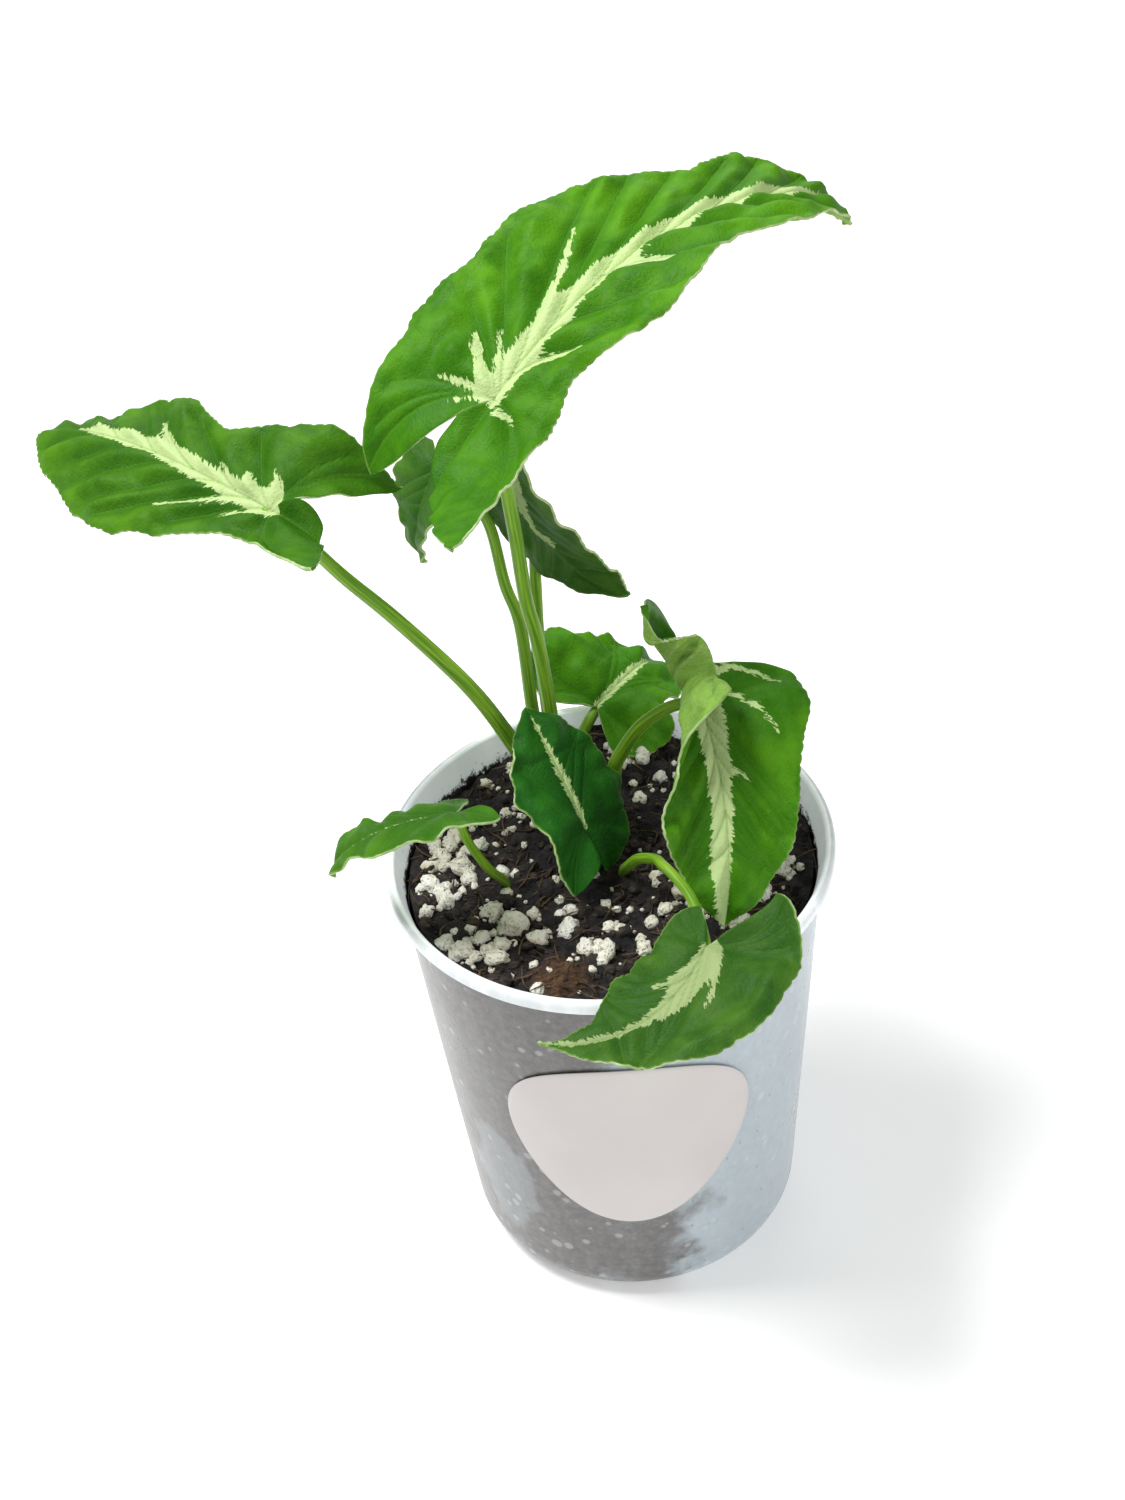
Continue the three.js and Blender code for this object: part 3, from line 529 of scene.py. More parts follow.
class Paint:
    """A material, with the few kinds of nodes that this plant needs"""

    def __init__(self, name, **constants):
        self.material = bpy.data.materials.new(name)
        self.material.use_nodes = True
        self.nodes = self.material.node_tree.nodes
        self.links = self.material.node_tree.links
        self.shader = self.nodes["Principled BSDF"]
        for socket, value in constants.items():
            self.shader.inputs[socket.replace("_", " ")].default_value = value

    def node(self, kind, values=(), out=0, **settings):
        """Adds a node, sets its settings, then fills its sockets with numbers or links"""
        node = self.nodes.new(kind)
        for name, value in settings.items():
            setattr(node, name, value)
        pairs = values.items() if isinstance(values, dict) else enumerate(values)
        for key, value in pairs:
            self.fill(node.inputs[key], value)
        return Value(self, node.outputs[out])

    def fill(self, socket, value):
        if isinstance(value, Value):
            self.links.new(value.socket, socket)
            return
        if socket.type == "RGBA" and len(value) == 3:
            value = (*value, 1)
        socket.default_value = value

    def set(self, name, value):
        self.fill(self.shader.inputs[name], value)

    def mix(self, share, first, second):
        """The second colour over the first by share, through the node's colour sockets"""
        return self.node("ShaderNodeMix", {0: share, 6: first, 7: second}, out=2, data_type="RGBA")

    def place(self):
        """Object coordinates in millimetres"""
        coordinates = self.node("ShaderNodeTexCoord", out="Object")
        return self.scaled(coordinates, (1 / MM, 1 / MM, 1 / MM))

    def plan(self):
        """The piece's own UV map, which holds millimetres across and along it"""
        return self.node("ShaderNodeUVMap", uv_map="plan")

    def scaled(self, vector, scale):
        return self.node("ShaderNodeMapping", {"Vector": vector, "Scale": scale})

    def attribute(self, name):
        return self.node("ShaderNodeAttribute", out="Fac", attribute_name=name)

    def noise(self, vector, length, detail=2.0, roughness=0.5, distortion=0.0):
        """Noise from 0 to 1 whose lumps are length across"""
        return self.node("ShaderNodeTexNoise", {
            "Vector": vector, "Scale": 1 / length, "Detail": detail, "Roughness": roughness,
            "Distortion": distortion,
        })

    def cells(self, vector, length, feature="F1"):
        """The distance to the middle or the edge of cells that are length across"""
        return self.node(
            "ShaderNodeTexVoronoi", {"Vector": vector, "Scale": 1 / length}, out="Distance",
            feature=feature,
        )

    def measured(self, operation, *vectors):
        """A number from Vector Math, such as a distance"""
        return self.node("ShaderNodeVectorMath", vectors, out="Value", operation=operation)

    def bump(self, height, distance, strength):
        """Relief by a height field, distance in millimetres at most"""
        normal = self.node("ShaderNodeBump", {
            "Height": height, "Distance": distance * MM, "Strength": strength,
        })
        self.set("Normal", normal)


# Meshes


def only(*objects):
    """Selects these objects, with the last one active"""
    bpy.ops.object.select_all(action="DESELECT")
    for one in objects:
        one.select_set(True)
    bpy.context.view_layer.objects.active = objects[-1]


def added(name, add, **settings):
    """Adds a primitive, a light or a camera with one of Blender's own operators"""
    bpy.ops.object.select_all(action="DESELECT")
    add(**settings)
    piece = bpy.context.object
    piece.name = piece.data.name = name
    return piece


@contextmanager
def edit_mode(piece):
    """Edit mode with the whole mesh selected"""
    only(piece)
    bpy.ops.object.mode_set(mode="EDIT")
    bpy.ops.mesh.select_all(action="SELECT")
    yield
    bpy.ops.object.mode_set(mode="OBJECT")


def merged(piece, distance=0.002):
    """Closes seams and poles, where points lie on one another"""
    with edit_mode(piece):
        bpy.ops.mesh.remove_doubles(threshold=distance * MM)


def applied(piece, kind, **settings):
    """Adds a modifier and applies it"""
    only(piece)
    modifier = piece.modifiers.new(kind.title(), kind)
    for name, value in settings.items():
        setattr(modifier, name, value)
    bpy.ops.object.modifier_apply(modifier=modifier.name)


def joined(name, pieces):
    """Joins pieces into one mesh"""
    only(*pieces)
    bpy.ops.object.join()
    piece = bpy.context.object
    piece.name = piece.data.name = name
    return piece


def vertex_places(mesh):
    """A mesh's vertices as rows of three numbers"""
    flat = np.empty(len(mesh.vertices) * 3)
    mesh.vertices.foreach_get("co", flat)
    return flat.reshape(-1, 3)


def sheet(name, points, plan, fields=None):
    """A grid primitive shaped to rows of points in millimetres, with its plan as a UV map"""
    rows, columns = points.shape[0] - 1, points.shape[1] - 1
    piece = added(
        name, bpy.ops.mesh.primitive_grid_add, x_subdivisions=columns, y_subdivisions=rows, size=2,
    )
    mesh = piece.data
    at = vertex_places(mesh)
    i = np.rint((at[:, 1] + 1) / 2 * rows).astype(int)
    j = np.rint((at[:, 0] + 1) / 2 * columns).astype(int)
    mesh.vertices.foreach_set("co", (points[i, j] * MM).ravel())
    corners = np.empty(len(mesh.loops), int)
    mesh.loops.foreach_get("vertex_index", corners)
    layer = mesh.uv_layers.active
    layer.name = "plan"
    layer.data.foreach_set("uv", plan[i, j][corners].ravel())
    for field, values in (fields or {}).items():
        mesh.attributes.new(field, "FLOAT", "POINT").data.foreach_set("value", values[i, j])
    mesh.update()
    return piece


def tube(name, path, radii, sides=18, flatten=0.0):
    """A closed tube along a path, somewhat flattened, its radius going to nothing at both ends"""
    ahead = np.gradient(path, axis=0)
    ahead /= np.linalg.norm(ahead, axis=1, keepdims=True)
    side = np.cross(ahead[0], (0.3, 1, 0.2))
    frames = []
    for direction in ahead:
        side = side - direction * np.dot(side, direction)
        side /= np.linalg.norm(side)
        frames.append((side, np.cross(direction, side)))
    turn = np.linspace(0, math.tau, sides + 1)
    points = np.array([
        centre + radius * (np.outer(np.cos(turn), a) + (1 - flatten) * np.outer(np.sin(turn), b))
        for centre, radius, (a, b) in zip(path, radii, frames)
    ])
    along = np.concatenate([[0], np.cumsum(np.linalg.norm(np.diff(path, axis=0), axis=1))])
    plan = np.stack(np.broadcast_arrays(turn[None, :], along[:, None]), -1)
    piece = sheet(name, points, plan)
    merged(piece, 0.001)
    return piece


def turned(name, profile, sides):
    """A closed round body: a disc extruded through a profile of radius and height"""
    (radius, height), *rest = profile
    piece = added(
        name, bpy.ops.mesh.primitive_circle_add, vertices=sides, radius=radius * MM, fill_type="NGON",
        location=(0, 0, height * MM),
    )
    bpy.ops.object.transform_apply(location=True)
    with edit_mode(piece):
        for new_radius, new_height in rest:
            bpy.ops.mesh.extrude_region_move(
                TRANSFORM_OT_translate={"value": (0, 0, (new_height - height) * MM)},
            )
            ratio = new_radius / radius
            bpy.ops.transform.resize(
                value=(ratio, ratio, 1), center_override=(0, 0, new_height * MM),
            )
            radius, height = new_radius, new_height
        bpy.ops.mesh.select_all(action="SELECT")
        bpy.ops.mesh.normals_make_consistent(inside=False)
    return piece


def copies(name, source, transforms):
    """One mesh that holds a copy of the source for each transform, and takes its place"""
    count = len(source.data.vertices)
    places = np.hstack([vertex_places(source.data), np.ones((count, 1))])
    faces = [np.array(polygon.vertices[:]) for polygon in source.data.polygons]
    points = np.vstack([places @ np.array(one).T[:, :3] for one in transforms])
    mesh = bpy.data.meshes.new(name)
    mesh.from_pydata(points, [], [face + i * count for i in range(len(transforms)) for face in faces])
    piece = bpy.data.objects.new(name, mesh)
    bpy.context.scene.collection.objects.link(piece)
    bpy.data.objects.remove(source)
    return piece


def scattered(name, kinds, transforms, model, **settings):
    """Copies of a few kinds of one thing, dealt out in turn, where model(kind) adds the one to copy"""
    return [
        copies(f"{name}_{kind}", model(kind, **settings), transforms[kind::kinds])
        for kind in range(kinds)
    ]


def finished(piece, slot, materials, *replaced):
    """Gives a piece its materials, smooth shading and its place in the model; the slot is not used"""
    for material in materials:
        piece.data.materials.append(material)
    only(piece)
    bpy.ops.object.shade_smooth()
    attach(piece, "root")
    if replaced:
        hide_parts(*replaced)


# The pot's and the mix's shapes


def wall_radius(height):
    """The outer radius of the wall at a height, which may be a number, an array or a shader value"""
    return POT["foot_radius"] + POT_TAPER * height


def arc(centre, radius, first, last, steps):
    """Points on an arc, as radius and height, from one angle to another"""
    angles = [(first + (last - first) * i / steps) * DEG for i in range(steps + 1)]
    return [(centre[0] + radius * math.cos(a), centre[1] + radius * math.sin(a)) for a in angles]


def soil_height(x, y):
    """The top of the mix as in the solid model: two waves that cross, and the low swells"""
    length = SOIL["crumb_length"]
    crumb = np.sin(x / length * 5.1 + 1.3) * np.cos(y / length * 4.3 + 0.4)
    crumb = crumb + 0.6 * np.sin((x + y) / length * 7.7) * np.cos((x - y) / length * 6.1 + 2)
    height = SOIL["level"] + SOIL["crumb"] * crumb
    for at_x, at_y, rise, reach in SWELLS:
        height = height + rise * np.exp(-((x - at_x) ** 2 + (y - at_y) ** 2) / reach ** 2)
    return height


def roughness_at(x, y):
    """Fine unevenness of the mix, in lumps 5 mm across with crumbs on them and pores of 1.4 mm"""
    at = Vector((x, y, 0))
    lumps = noise.fractal(at / 5, 0.8, 2.1, 4)
    pores = noise.noise(at / 1.4 + Vector((7, 3, 1)))
    return 0.9 * lumps + 0.35 * pores


def surface_height(x, y):
    """The top of the mix at one place, for the small grains, crumbs and fibres that lie on it"""
    return float(soil_height(x, y)) + SOIL["roughness"] * roughness_at(x, y)


# The leaves' shape, the same as in the solid model but for its relief

# A row across one half of a blade: its frame on the midrib, its outer and inner edge, how far along it
# lies, and its fold, curl and ripple
Row = namedtuple("Row", "frame outer inner along fold curl ripple")

# The fewest columns and rows of a half, for the small blades
FEWEST = {"columns": 14, "rows": 30, "lobe_rows": 12}
CURL_STEPS = 64

# Relief, in millimetres: the ripple of a half, the wander and flutter of its margin, the flat border
# inside the margin, and the swell between the veins, which leaves the midrib flat
RIPPLE = {"height": 0.5, "waves": 5}
WANDER = {"height": 0.5, "length": 9, "fade": 6}
FLUTTER = {"height": 0.35, "length": 9}
BORDER = 3
SWELL = {"valley": 5, "unevenness": 0.8, "sunk": 0.42, "flat_rib": 2.5, "rise": 4}
# The half-widths of a blade that has its full scallops and its full quilting
FULL_SIZE = {"scallops": 14, "quilting": 18}


def start_frame(leaf):
    """The frame at the junction: its place, the way ahead along the midrib and the way to the right"""
    heading, rise, roll = (leaf[key] * DEG for key in ("heading", "rise", "roll"))
    ahead = Vector((
        math.cos(rise) * math.cos(heading), math.cos(rise) * math.sin(heading), math.sin(rise),
    ))
    across = Matrix.Rotation(-roll, 3, ahead) @ Vector((math.sin(heading), -math.cos(heading), 0))
    return Vector(leaf["junction"]), ahead, across


def step_frame(at, ahead, across, distance, down, right, twist):
    """The frame a little further along, bent down, swept right and twisted"""
    ahead = Matrix.Rotation(-down * DEG, 3, across) @ ahead
    up = across.cross(ahead)
    sweep = Matrix.Rotation(-right * DEG, 3, up)
    ahead = sweep @ ahead
    across = Matrix.Rotation(-twist * DEG, 3, ahead) @ (sweep @ across)
    return at + ahead * distance, ahead, across


def half_width(widths, share):
    """Catmull-Rom through the widths at eighths of the length, closing to a point at the tip"""
    stations = np.array([2 * widths[0] - widths[1], *widths, 0, -0.6 * widths[-1]])
    place = np.clip(share, 0, 1) * len(widths)
    i = np.minimum(place.astype(int), len(widths) - 1)
    t = place - i
    before, first, second, after = (stations[i + k] for k in range(4))
    bend = (2 * before - 5 * first + 4 * second - after) * t ** 2
    bend = bend + (3 * first - before - 3 * second + after) * t ** 3
    return np.maximum(0, 0.5 * (2 * first + (second - before) * t + bend))


def between(values, share):
    """A curve through values at the junction, halfway and at the tip"""
    first, middle, last = values
    return first + (middle - first) * 2 * share + (first - 2 * middle + last) * 2 * share * (share - 0.5)


def lobe_edges(half, share):
    """The outer and inner edge of a lobe at a share of its length"""
    lobe = half["lobe"]
    around = np.maximum(0, 1 - share * share)
    outer = lobe["out"] + (half["widths"][0] - lobe["out"]) * around ** lobe.get("bluntness", 0.6)
    inner = lobe["out"] * (lobe["open"] * share + (1 - lobe["open"]) * (1 - np.sqrt(around)))
    return outer, inner


def leaf_rows(leaf, side, count):
    """The rows of one half from the junction to the leaf's tip"""
    half = leaf[side]
    scroll, reach = half.get("scroll", (0, 1))
    here = start_frame(leaf)
    found = []
    last = 0.0
    for i in range(count + 1):
        share = i / count
        step = share - last
        down, right = (
            even * step + growing * (share ** 2 - last ** 2)
            for even, growing in (leaf["droop"], leaf["sweep"])
        )
        here = step_frame(*here, leaf["length"] * step, down, right, leaf["twist"] * step)
        last = share
        width = float(half_width(half["widths"], np.array(share))) if i < count else 0.0
        found.append(Row(
            here, width, 0.0, share * leaf["length"], between(half["fold"], share),
            between(half["curl"], share) + scroll * math.exp(-((share / reach) ** 4)),
            RIPPLE["height"] * math.sin(RIPPLE["waves"] * math.tau * share + SIDES[side]),
        ))
    return found


def lobe_rows(leaf, side, count):
    """The rows of one half's lobe, from its tip to just short of the junction"""
    half = leaf[side]
    lobe = half["lobe"]
    scroll, _ = half.get("scroll", (0, 1))
    here = start_frame(leaf)
    found = []
    last = 0.0
    for i in range(1, count + 1):
        share = math.sin(i / count * math.pi / 2)
        step = share - last
        right, twist = lobe.get("sweep", 0) * step, lobe.get("twist", 0) * step
        here = step_frame(*here, -lobe["length"] * step, -lobe["droop"] * step, right, twist)
        last = share
        outer, inner = lobe_edges(half, np.array(share))
        found.append(Row(
            here, float(outer), float(inner), -lobe["length"] * share,
            half["fold"][0] + (lobe["fold"] - half["fold"][0]) * share,
            (half["curl"][0] + scroll) * (1 - share) + lobe["curl"] * share,
            RIPPLE["height"] * math.sin(SIDES[side]) * (1 - share * share),
        ))
    return found[::-1]


def curve_points(first, control, last):
    """Eleven points on a quadratic curve in the leaf's plan"""
    t = np.linspace(0, 1, 11)[:, None]
    first, control, last = (np.array(point, float) for point in (first, control, last))
    return first * (1 - t) ** 2 + control * 2 * t * (1 - t) + last * t ** 2


def even_veins(leaf, side):
    """Side veins by their number alone: where each leaves the midrib, how far out and along it ends"""
    widths, length = leaf[side]["widths"], leaf["length"]
    ends = []
    for k in range(leaf["veins"]):
        foot = length * (0.03 + 0.75 * (k / leaf["veins"]) ** 1.1)
        reach = float(half_width(widths, np.array((foot + 12) / length)))
        end = min(foot + 1.4 * reach, 0.97 * length)
        ends.append((foot, float(half_width(widths, np.array(end / length))), end))
    return ends


def side_veins(leaf, side):
    """A half's side veins in its plan, with three more that run into the lobe"""
    half = leaf[side]
    ends = leaf["veins"][side] if isinstance(leaf["veins"], dict) else even_veins(leaf, side)
    veins = []
    for foot, across, along in ends:
        bend = (0.07 * across, foot + 0.25 * (along - foot))
        veins.append(curve_points((0, foot), bend, (0.97 * across, along)))
    for share in (0.3, 0.66, 0.93):
        outer, inner = (float(edge) for edge in lobe_edges(half, np.array(share)))
        target = (inner + (outer - inner) * 0.85, -half["lobe"]["length"] * share)
        veins.append(curve_points((0, 0), (0.55 * target[0], 0.2 * target[1]), target))
    return veins


def distance_to(line, across, along):
    """The distance of each point to a line in the plan, and how far along the line it is nearest"""
    point = np.stack([across, along], -1)[..., None, :]
    start, end = line[:-1], line[1:]
    step = end - start
    t = np.clip(((point - start) * step).sum(-1) / (step ** 2).sum(-1), 0, 1)
    gap = np.linalg.norm(point - (start + t[..., None] * step), axis=-1)
    nearest = gap.argmin(-1)[..., None]
    share = (nearest + np.take_along_axis(t, nearest, -1)) / len(step)
    return np.take_along_axis(gap, nearest, -1)[..., 0], share[..., 0]


def margin_course(outer, along, sign, seed):
    """Along a margin: the length run so far, a slow wander, and a fade to nothing at both tips"""
    run = np.concatenate([[0], np.cumsum(np.hypot(np.diff(outer), np.diff(along)))])
    wander = np.array([noise.noise(Vector((s / WANDER["length"], sign * 3.7, seed))) for s in run])
    return run, wander, np.clip(np.minimum(run, run[-1] - run) / WANDER["fade"], 0, 1)


def swelling(across, along, vein, sign, seed):
    """The blade's swell between its veins, uneven from place to place and sunk on the whole"""
    near = np.minimum(vein, np.abs(across) * 1.2)
    blister = np.array([
        noise.noise(Vector((sign * a / 4, b / 6, seed))) for a, b in zip(across.flat, along.flat)
    ])
    uneven = 1 + SWELL["unevenness"] * blister.reshape(across.shape)
    swell = near ** 2 / (near ** 2 + SWELL["valley"]) * uneven
    # sunk by its mean, so that the solid's face lies amid it, but not on the midrib, over the stalk
    return swell - SWELL["sunk"] * np.clip((np.abs(across) - SWELL["flat_rib"]) / SWELL["rise"], 0, 1)


def curled_section(fold, curl, bend, reach):
    """For each row, how far right and how far up the blade gets in even steps out from the midrib"""
    middle = (np.arange(CURL_STEPS) + 0.5) / CURL_STEPS
    angles = (fold[:, None] + curl[:, None] * middle ** bend) * DEG
    start = np.zeros((len(fold), 1))
    return [
        np.concatenate([start, np.cumsum(step, 1)], 1) * reach / CURL_STEPS
        for step in (np.cos(angles), np.sin(angles))
    ]


def cream_depth(leaf, side, across, along):
    """How deep in the cream a point lies, where the stripe and its branches run into one another"""
    widths = leaf["stripe"][side]
    stripe = np.interp(along, np.linspace(0, leaf["length"], len(widths)), widths) - np.abs(across)
    strokes = [np.where(along < 0, stripe + along * 0.9, stripe)]
    for branch_side, start, control, end, first, last in leaf["branches"]:
        if branch_side == side:
            gap, place = distance_to(curve_points(start, control, end), across, along)
            strokes.append(first + (last - first) * place ** 0.7 - gap)
    sharpness = 1.6
    parts = np.exp(np.clip(sharpness * np.array(strokes), -30, 30))
    return np.log(np.sum(parts, axis=0)) / sharpness


def blade_half(leaf, side, blade):
    """One half of a blade: a sheet with scallops and relief, and with fields for its colours"""
    half, length = leaf[side], leaf["length"]
    sign = SIDES[side]
    spacing = blade.spacing / MM
    widest = max(half["widths"])
    columns = max(FEWEST["columns"], round(widest / spacing))
    rows = [
        *lobe_rows(leaf, side, max(FEWEST["lobe_rows"], round(half["lobe"]["length"] / spacing))),
        *leaf_rows(leaf, side, max(FEWEST["rows"], round(length / spacing))),
    ]
    outer, inner, along, fold, curl, ripple = (np.array(values) for values in list(zip(*rows))[1:])
    # scallops run evenly along the margin, with a fine flutter, and are smaller on a small blade
    run, wander, fade = margin_course(outer, along, sign, length)
    delicacy = min(1, widest / FULL_SIZE["scallops"])
    tooth = np.abs(np.sin(math.pi * run / (blade.tooth_pitch / MM) + 2.5 * wander)) ** 0.8 - 0.6
    depth = blade.tooth / MM * delicacy
    outer = outer + (depth * tooth * (1 + 0.6 * wander) + WANDER["height"] * wander) * fade
    flutter = np.sin(math.tau * run / FLUTTER["length"] + 5 * wander) * fade
    flutter = flutter * FLUTTER["height"] * delicacy

    across = inner[:, None] + (outer - inner)[:, None] * np.linspace(0, 1, columns + 1)
    along = np.broadcast_to(along[:, None], across.shape)
    reach = np.maximum(outer, 0.001)[:, None]
    share = np.clip(across / reach, 0, 1)
    vein = np.min([distance_to(line, across, along)[0] for line in side_veins(leaf, side)], axis=0)
    edge = np.minimum(outer[:, None] - across, BORDER) / BORDER
    swell = swelling(across, along, vein, sign, length)
    quilting = blade.quilting / MM * min(1, widest / FULL_SIZE["quilting"])
    height = quilting * swell * np.clip(edge, 0, 1)
    lift = ripple[:, None] * (np.maximum(across, 0) / reach) ** 2 + flutter[:, None] * share ** 5

    bend = half.get("bend", 1)
    walked_right, walked_up = curled_section(fold, curl, bend, reach)
    ticks = np.linspace(0, 1, CURL_STEPS + 1)
    points = np.empty((*across.shape, 3))
    for i, row in enumerate(rows):
        # a lobe's inner edge may lie past the midrib, where the blade goes on flat
        past = across[i] < 0
        tilt = fold[i] * DEG
        x = np.where(past, across[i] * math.cos(tilt), np.interp(share[i], ticks, walked_right[i]))
        y = np.where(past, across[i] * math.sin(tilt), np.interp(share[i], ticks, walked_up[i]))
        slope = (fold[i] + curl[i] * share[i] ** bend) * DEG
        x = x - np.sin(slope) * height[i]
        y = y + np.cos(slope) * height[i] + lift[i]
        at, ahead, right = (np.array(vector) for vector in row.frame)
        points[i] = at + sign * x[:, None] * right + y[:, None] * np.cross(right, ahead)

    fields = {
        "cream": cream_depth(leaf, side, across, along), "vein": np.minimum(vein, 9),
        "rib": np.abs(across), "margin": edge * BORDER,
    }
    plan = np.stack([sign * across, along], -1)
    if side == "left":
        points, plan = points[:, ::-1], plan[:, ::-1]
        fields = {name: values[:, ::-1] for name, values in fields.items()}
    return sheet(f"half_{side}", points, plan, fields)


def smooth_path(points, steps=12):
    """Catmull-Rom through points, with steps between each pair"""
    points = np.array(points)
    ends = np.vstack([2 * points[0] - points[1], points, 2 * points[-1] - points[-2]])
    t = np.linspace(0, 1, steps, endpoint=False)[:, None]
    found = []
    for a, b, c, d in zip(ends, ends[1:], ends[2:], ends[3:]):
        bend = (2 * a - 5 * b + 4 * c - d) * t ** 2 + (3 * b - a - 3 * c + d) * t ** 3
        found.append(0.5 * (2 * b + (c - a) * t + bend))
    return np.vstack([*found, points[-1:]])


# Materials


def shaded(colour, *scales):
    """A colour made lighter or darker, by one number or by one for each channel"""
    scales = scales if len(scales) == 3 else scales * 3
    return tuple(min(1, channel * scale) for channel, scale in zip(colour, scales))


def torn_cream(paint, plan, rib):
    """Where the cream is: its edge is torn into strokes that run out and forwards, as the veins do"""
    along = plan.part(1)
    stroke = paint.node("ShaderNodeCombineXYZ", [
        rib * 0.38 + along * 0.32, along * 1.5 - rib * 1.25, plan.part(0) * 0.05,
    ])
    ragged = paint.noise(stroke, 1.0, detail=3, roughness=0.7) - 0.5
    slow = paint.noise(plan, 3.5) - 0.5
    return (paint.attribute("cream") + ragged * 3.0 + slow * 1.2).above(-0.06, 0.06)


def blade_paint(name, colour, cream_colour, paleness):
    """The upper face: velvety green with a ragged cream stripe, pale fine veins and a soft mottle"""
    paint = Paint(name, Specular_IOR_Level=0.12)
    plan = paint.plan()
    along = plan.part(1)
    vein, rib = paint.attribute("vein"), paint.attribute("rib")
    light, deep = shaded(colour, 1.7, 1.35, 1.6), shaded(colour, 0.52, 0.66, 0.9)
    pale_edge, yellower, green_line = (0.26, 0.42, 0.10), (0.44, 0.63, 0.22), (0.14, 0.26, 0.04)
    mottle = paint.noise(paint.place(), 9, detail=4, roughness=0.6)
    patches = paint.noise(plan, 2.2, detail=3, roughness=0.7)
    green = paint.mix(mottle.above(0.32, 0.7), deep, light)
    green = paint.mix(patches.above(0.35, 0.75) * 0.35, green, light)
    # deeper green at the lobes and lighter towards the tip: painted shade where the lobes face away from
    # the light, and painted light where the tip faces it
    green = paint.mix(along.below(-22, 30) * 0.45, green, deep)
    green = paint.mix(along.above(15, 80) * 0.5, green, light)
    # painted shade: deeper green in the valleys by the side veins and beside the cream
    valley = vein.below(0.2, 2.2) * 0.5 + paint.attribute("cream").above(-7, -0.5) * 0.4
    green = paint.mix(valley, green, deep)
    green = paint.mix(vein.below(0.0, 0.75) * 0.2 + rib.below(0.1, 0.6) * 0.25, green, light)
    fine = paint.cells(plan, 0.9, feature="DISTANCE_TO_EDGE")
    green = paint.mix(fine.below(0.02, 0.1) * 0.07, green, light)
    green = paint.mix(paint.attribute("margin").below(0.1, 0.4) * 0.45, green, pale_edge)
    tint = paint.noise(plan, 1.6).above(0.4, 0.8) * 0.7 * paleness
    stripe = paint.mix(tint, shaded(cream_colour, paleness), shaded(yellower, paleness))
    lines = vein.below(0.05, 0.4) * 0.35 + rib.below(0.05, 0.35) * 0.35
    stripe = paint.mix(lines, stripe, green_line)
    paint.set("Base Color", paint.mix(torn_cream(paint, plan, rib), green, stripe))
    paint.set("Roughness", 0.44 + mottle * 0.16)
    relief = fine.above(0.0, 0.22) * 0.22 + paint.noise(plan, 0.45, detail=3) * 0.6
    relief = relief - vein.below(0.0, 0.5) * 0.8 - rib.below(0.0, 0.5) * 0.6
    paint.bump(relief, 0.22, 0.75)
    return paint.material


def underside_paint(colour):
    """The lower face: pale matt green with raised veins"""
    paint = Paint("leaf_underside", Roughness=0.6, Specular_IOR_Level=0.12)
    plan = paint.plan()
    vein, rib = paint.attribute("vein"), paint.attribute("rib")
    pale_vein, pale_net = (0.42, 0.58, 0.22), (0.38, 0.55, 0.2)
    mottle = paint.noise(plan, 6, detail=4, roughness=0.6)
    green = paint.mix(mottle.above(0.3, 0.72), shaded(colour, 0.72), colour)
    green = paint.mix(vein.below(0.1, 0.8) * 0.35 + rib.below(0.2, 0.9) * 0.4, green, pale_vein)
    fine = paint.cells(plan, 1.3, feature="DISTANCE_TO_EDGE")
    green = paint.mix(fine.below(0.02, 0.1) * 0.2, green, pale_net)
    paint.set("Base Color", green)
    relief = vein.below(0.0, 0.6) + rib.below(0.0, 0.8) + fine.below(0.0, 0.2) * 0.4
    paint.bump(relief, 0.25, 0.7)
    return paint.material


def margin_paint():
    """The thin pale line round a blade"""
    paint = Paint("leaf_margin", Roughness=0.5)
    green, pale = (0.30, 0.46, 0.14), (0.55, 0.66, 0.36)
    wander = paint.noise(paint.plan(), 3)
    paint.set("Base Color", paint.mix(wander.above(0.35, 0.7), green, pale))
    return paint.material


def stalk_paint():
    """A stalk: yellow-green, with fine stripes along it and a duller foot"""
    paint = Paint("leaf_stalk", Roughness=0.4, Specular_IOR_Level=0.25)
    plan = paint.plan()
    green, pale = (0.09, 0.25, 0.006), (0.27, 0.49, 0.03)
    blotch, foot = (0.17, 0.37, 0.03), (0.10, 0.14, 0.03)
    stripes = paint.noise(paint.scaled(plan, (2.2, 0.05, 1)), 1, detail=3, roughness=0.6)
    colour = paint.mix(stripes.above(0.35, 0.65), green, pale)
    colour = paint.mix(paint.noise(plan, 9).above(0.4, 0.8) * 0.4, colour, blotch)
    height = paint.place().part(2)
    paint.set("Base Color", paint.mix(height.below(94, 106) * 0.5, colour, foot))
    paint.bump(stripes, 0.12, 0.6)
    return paint.material


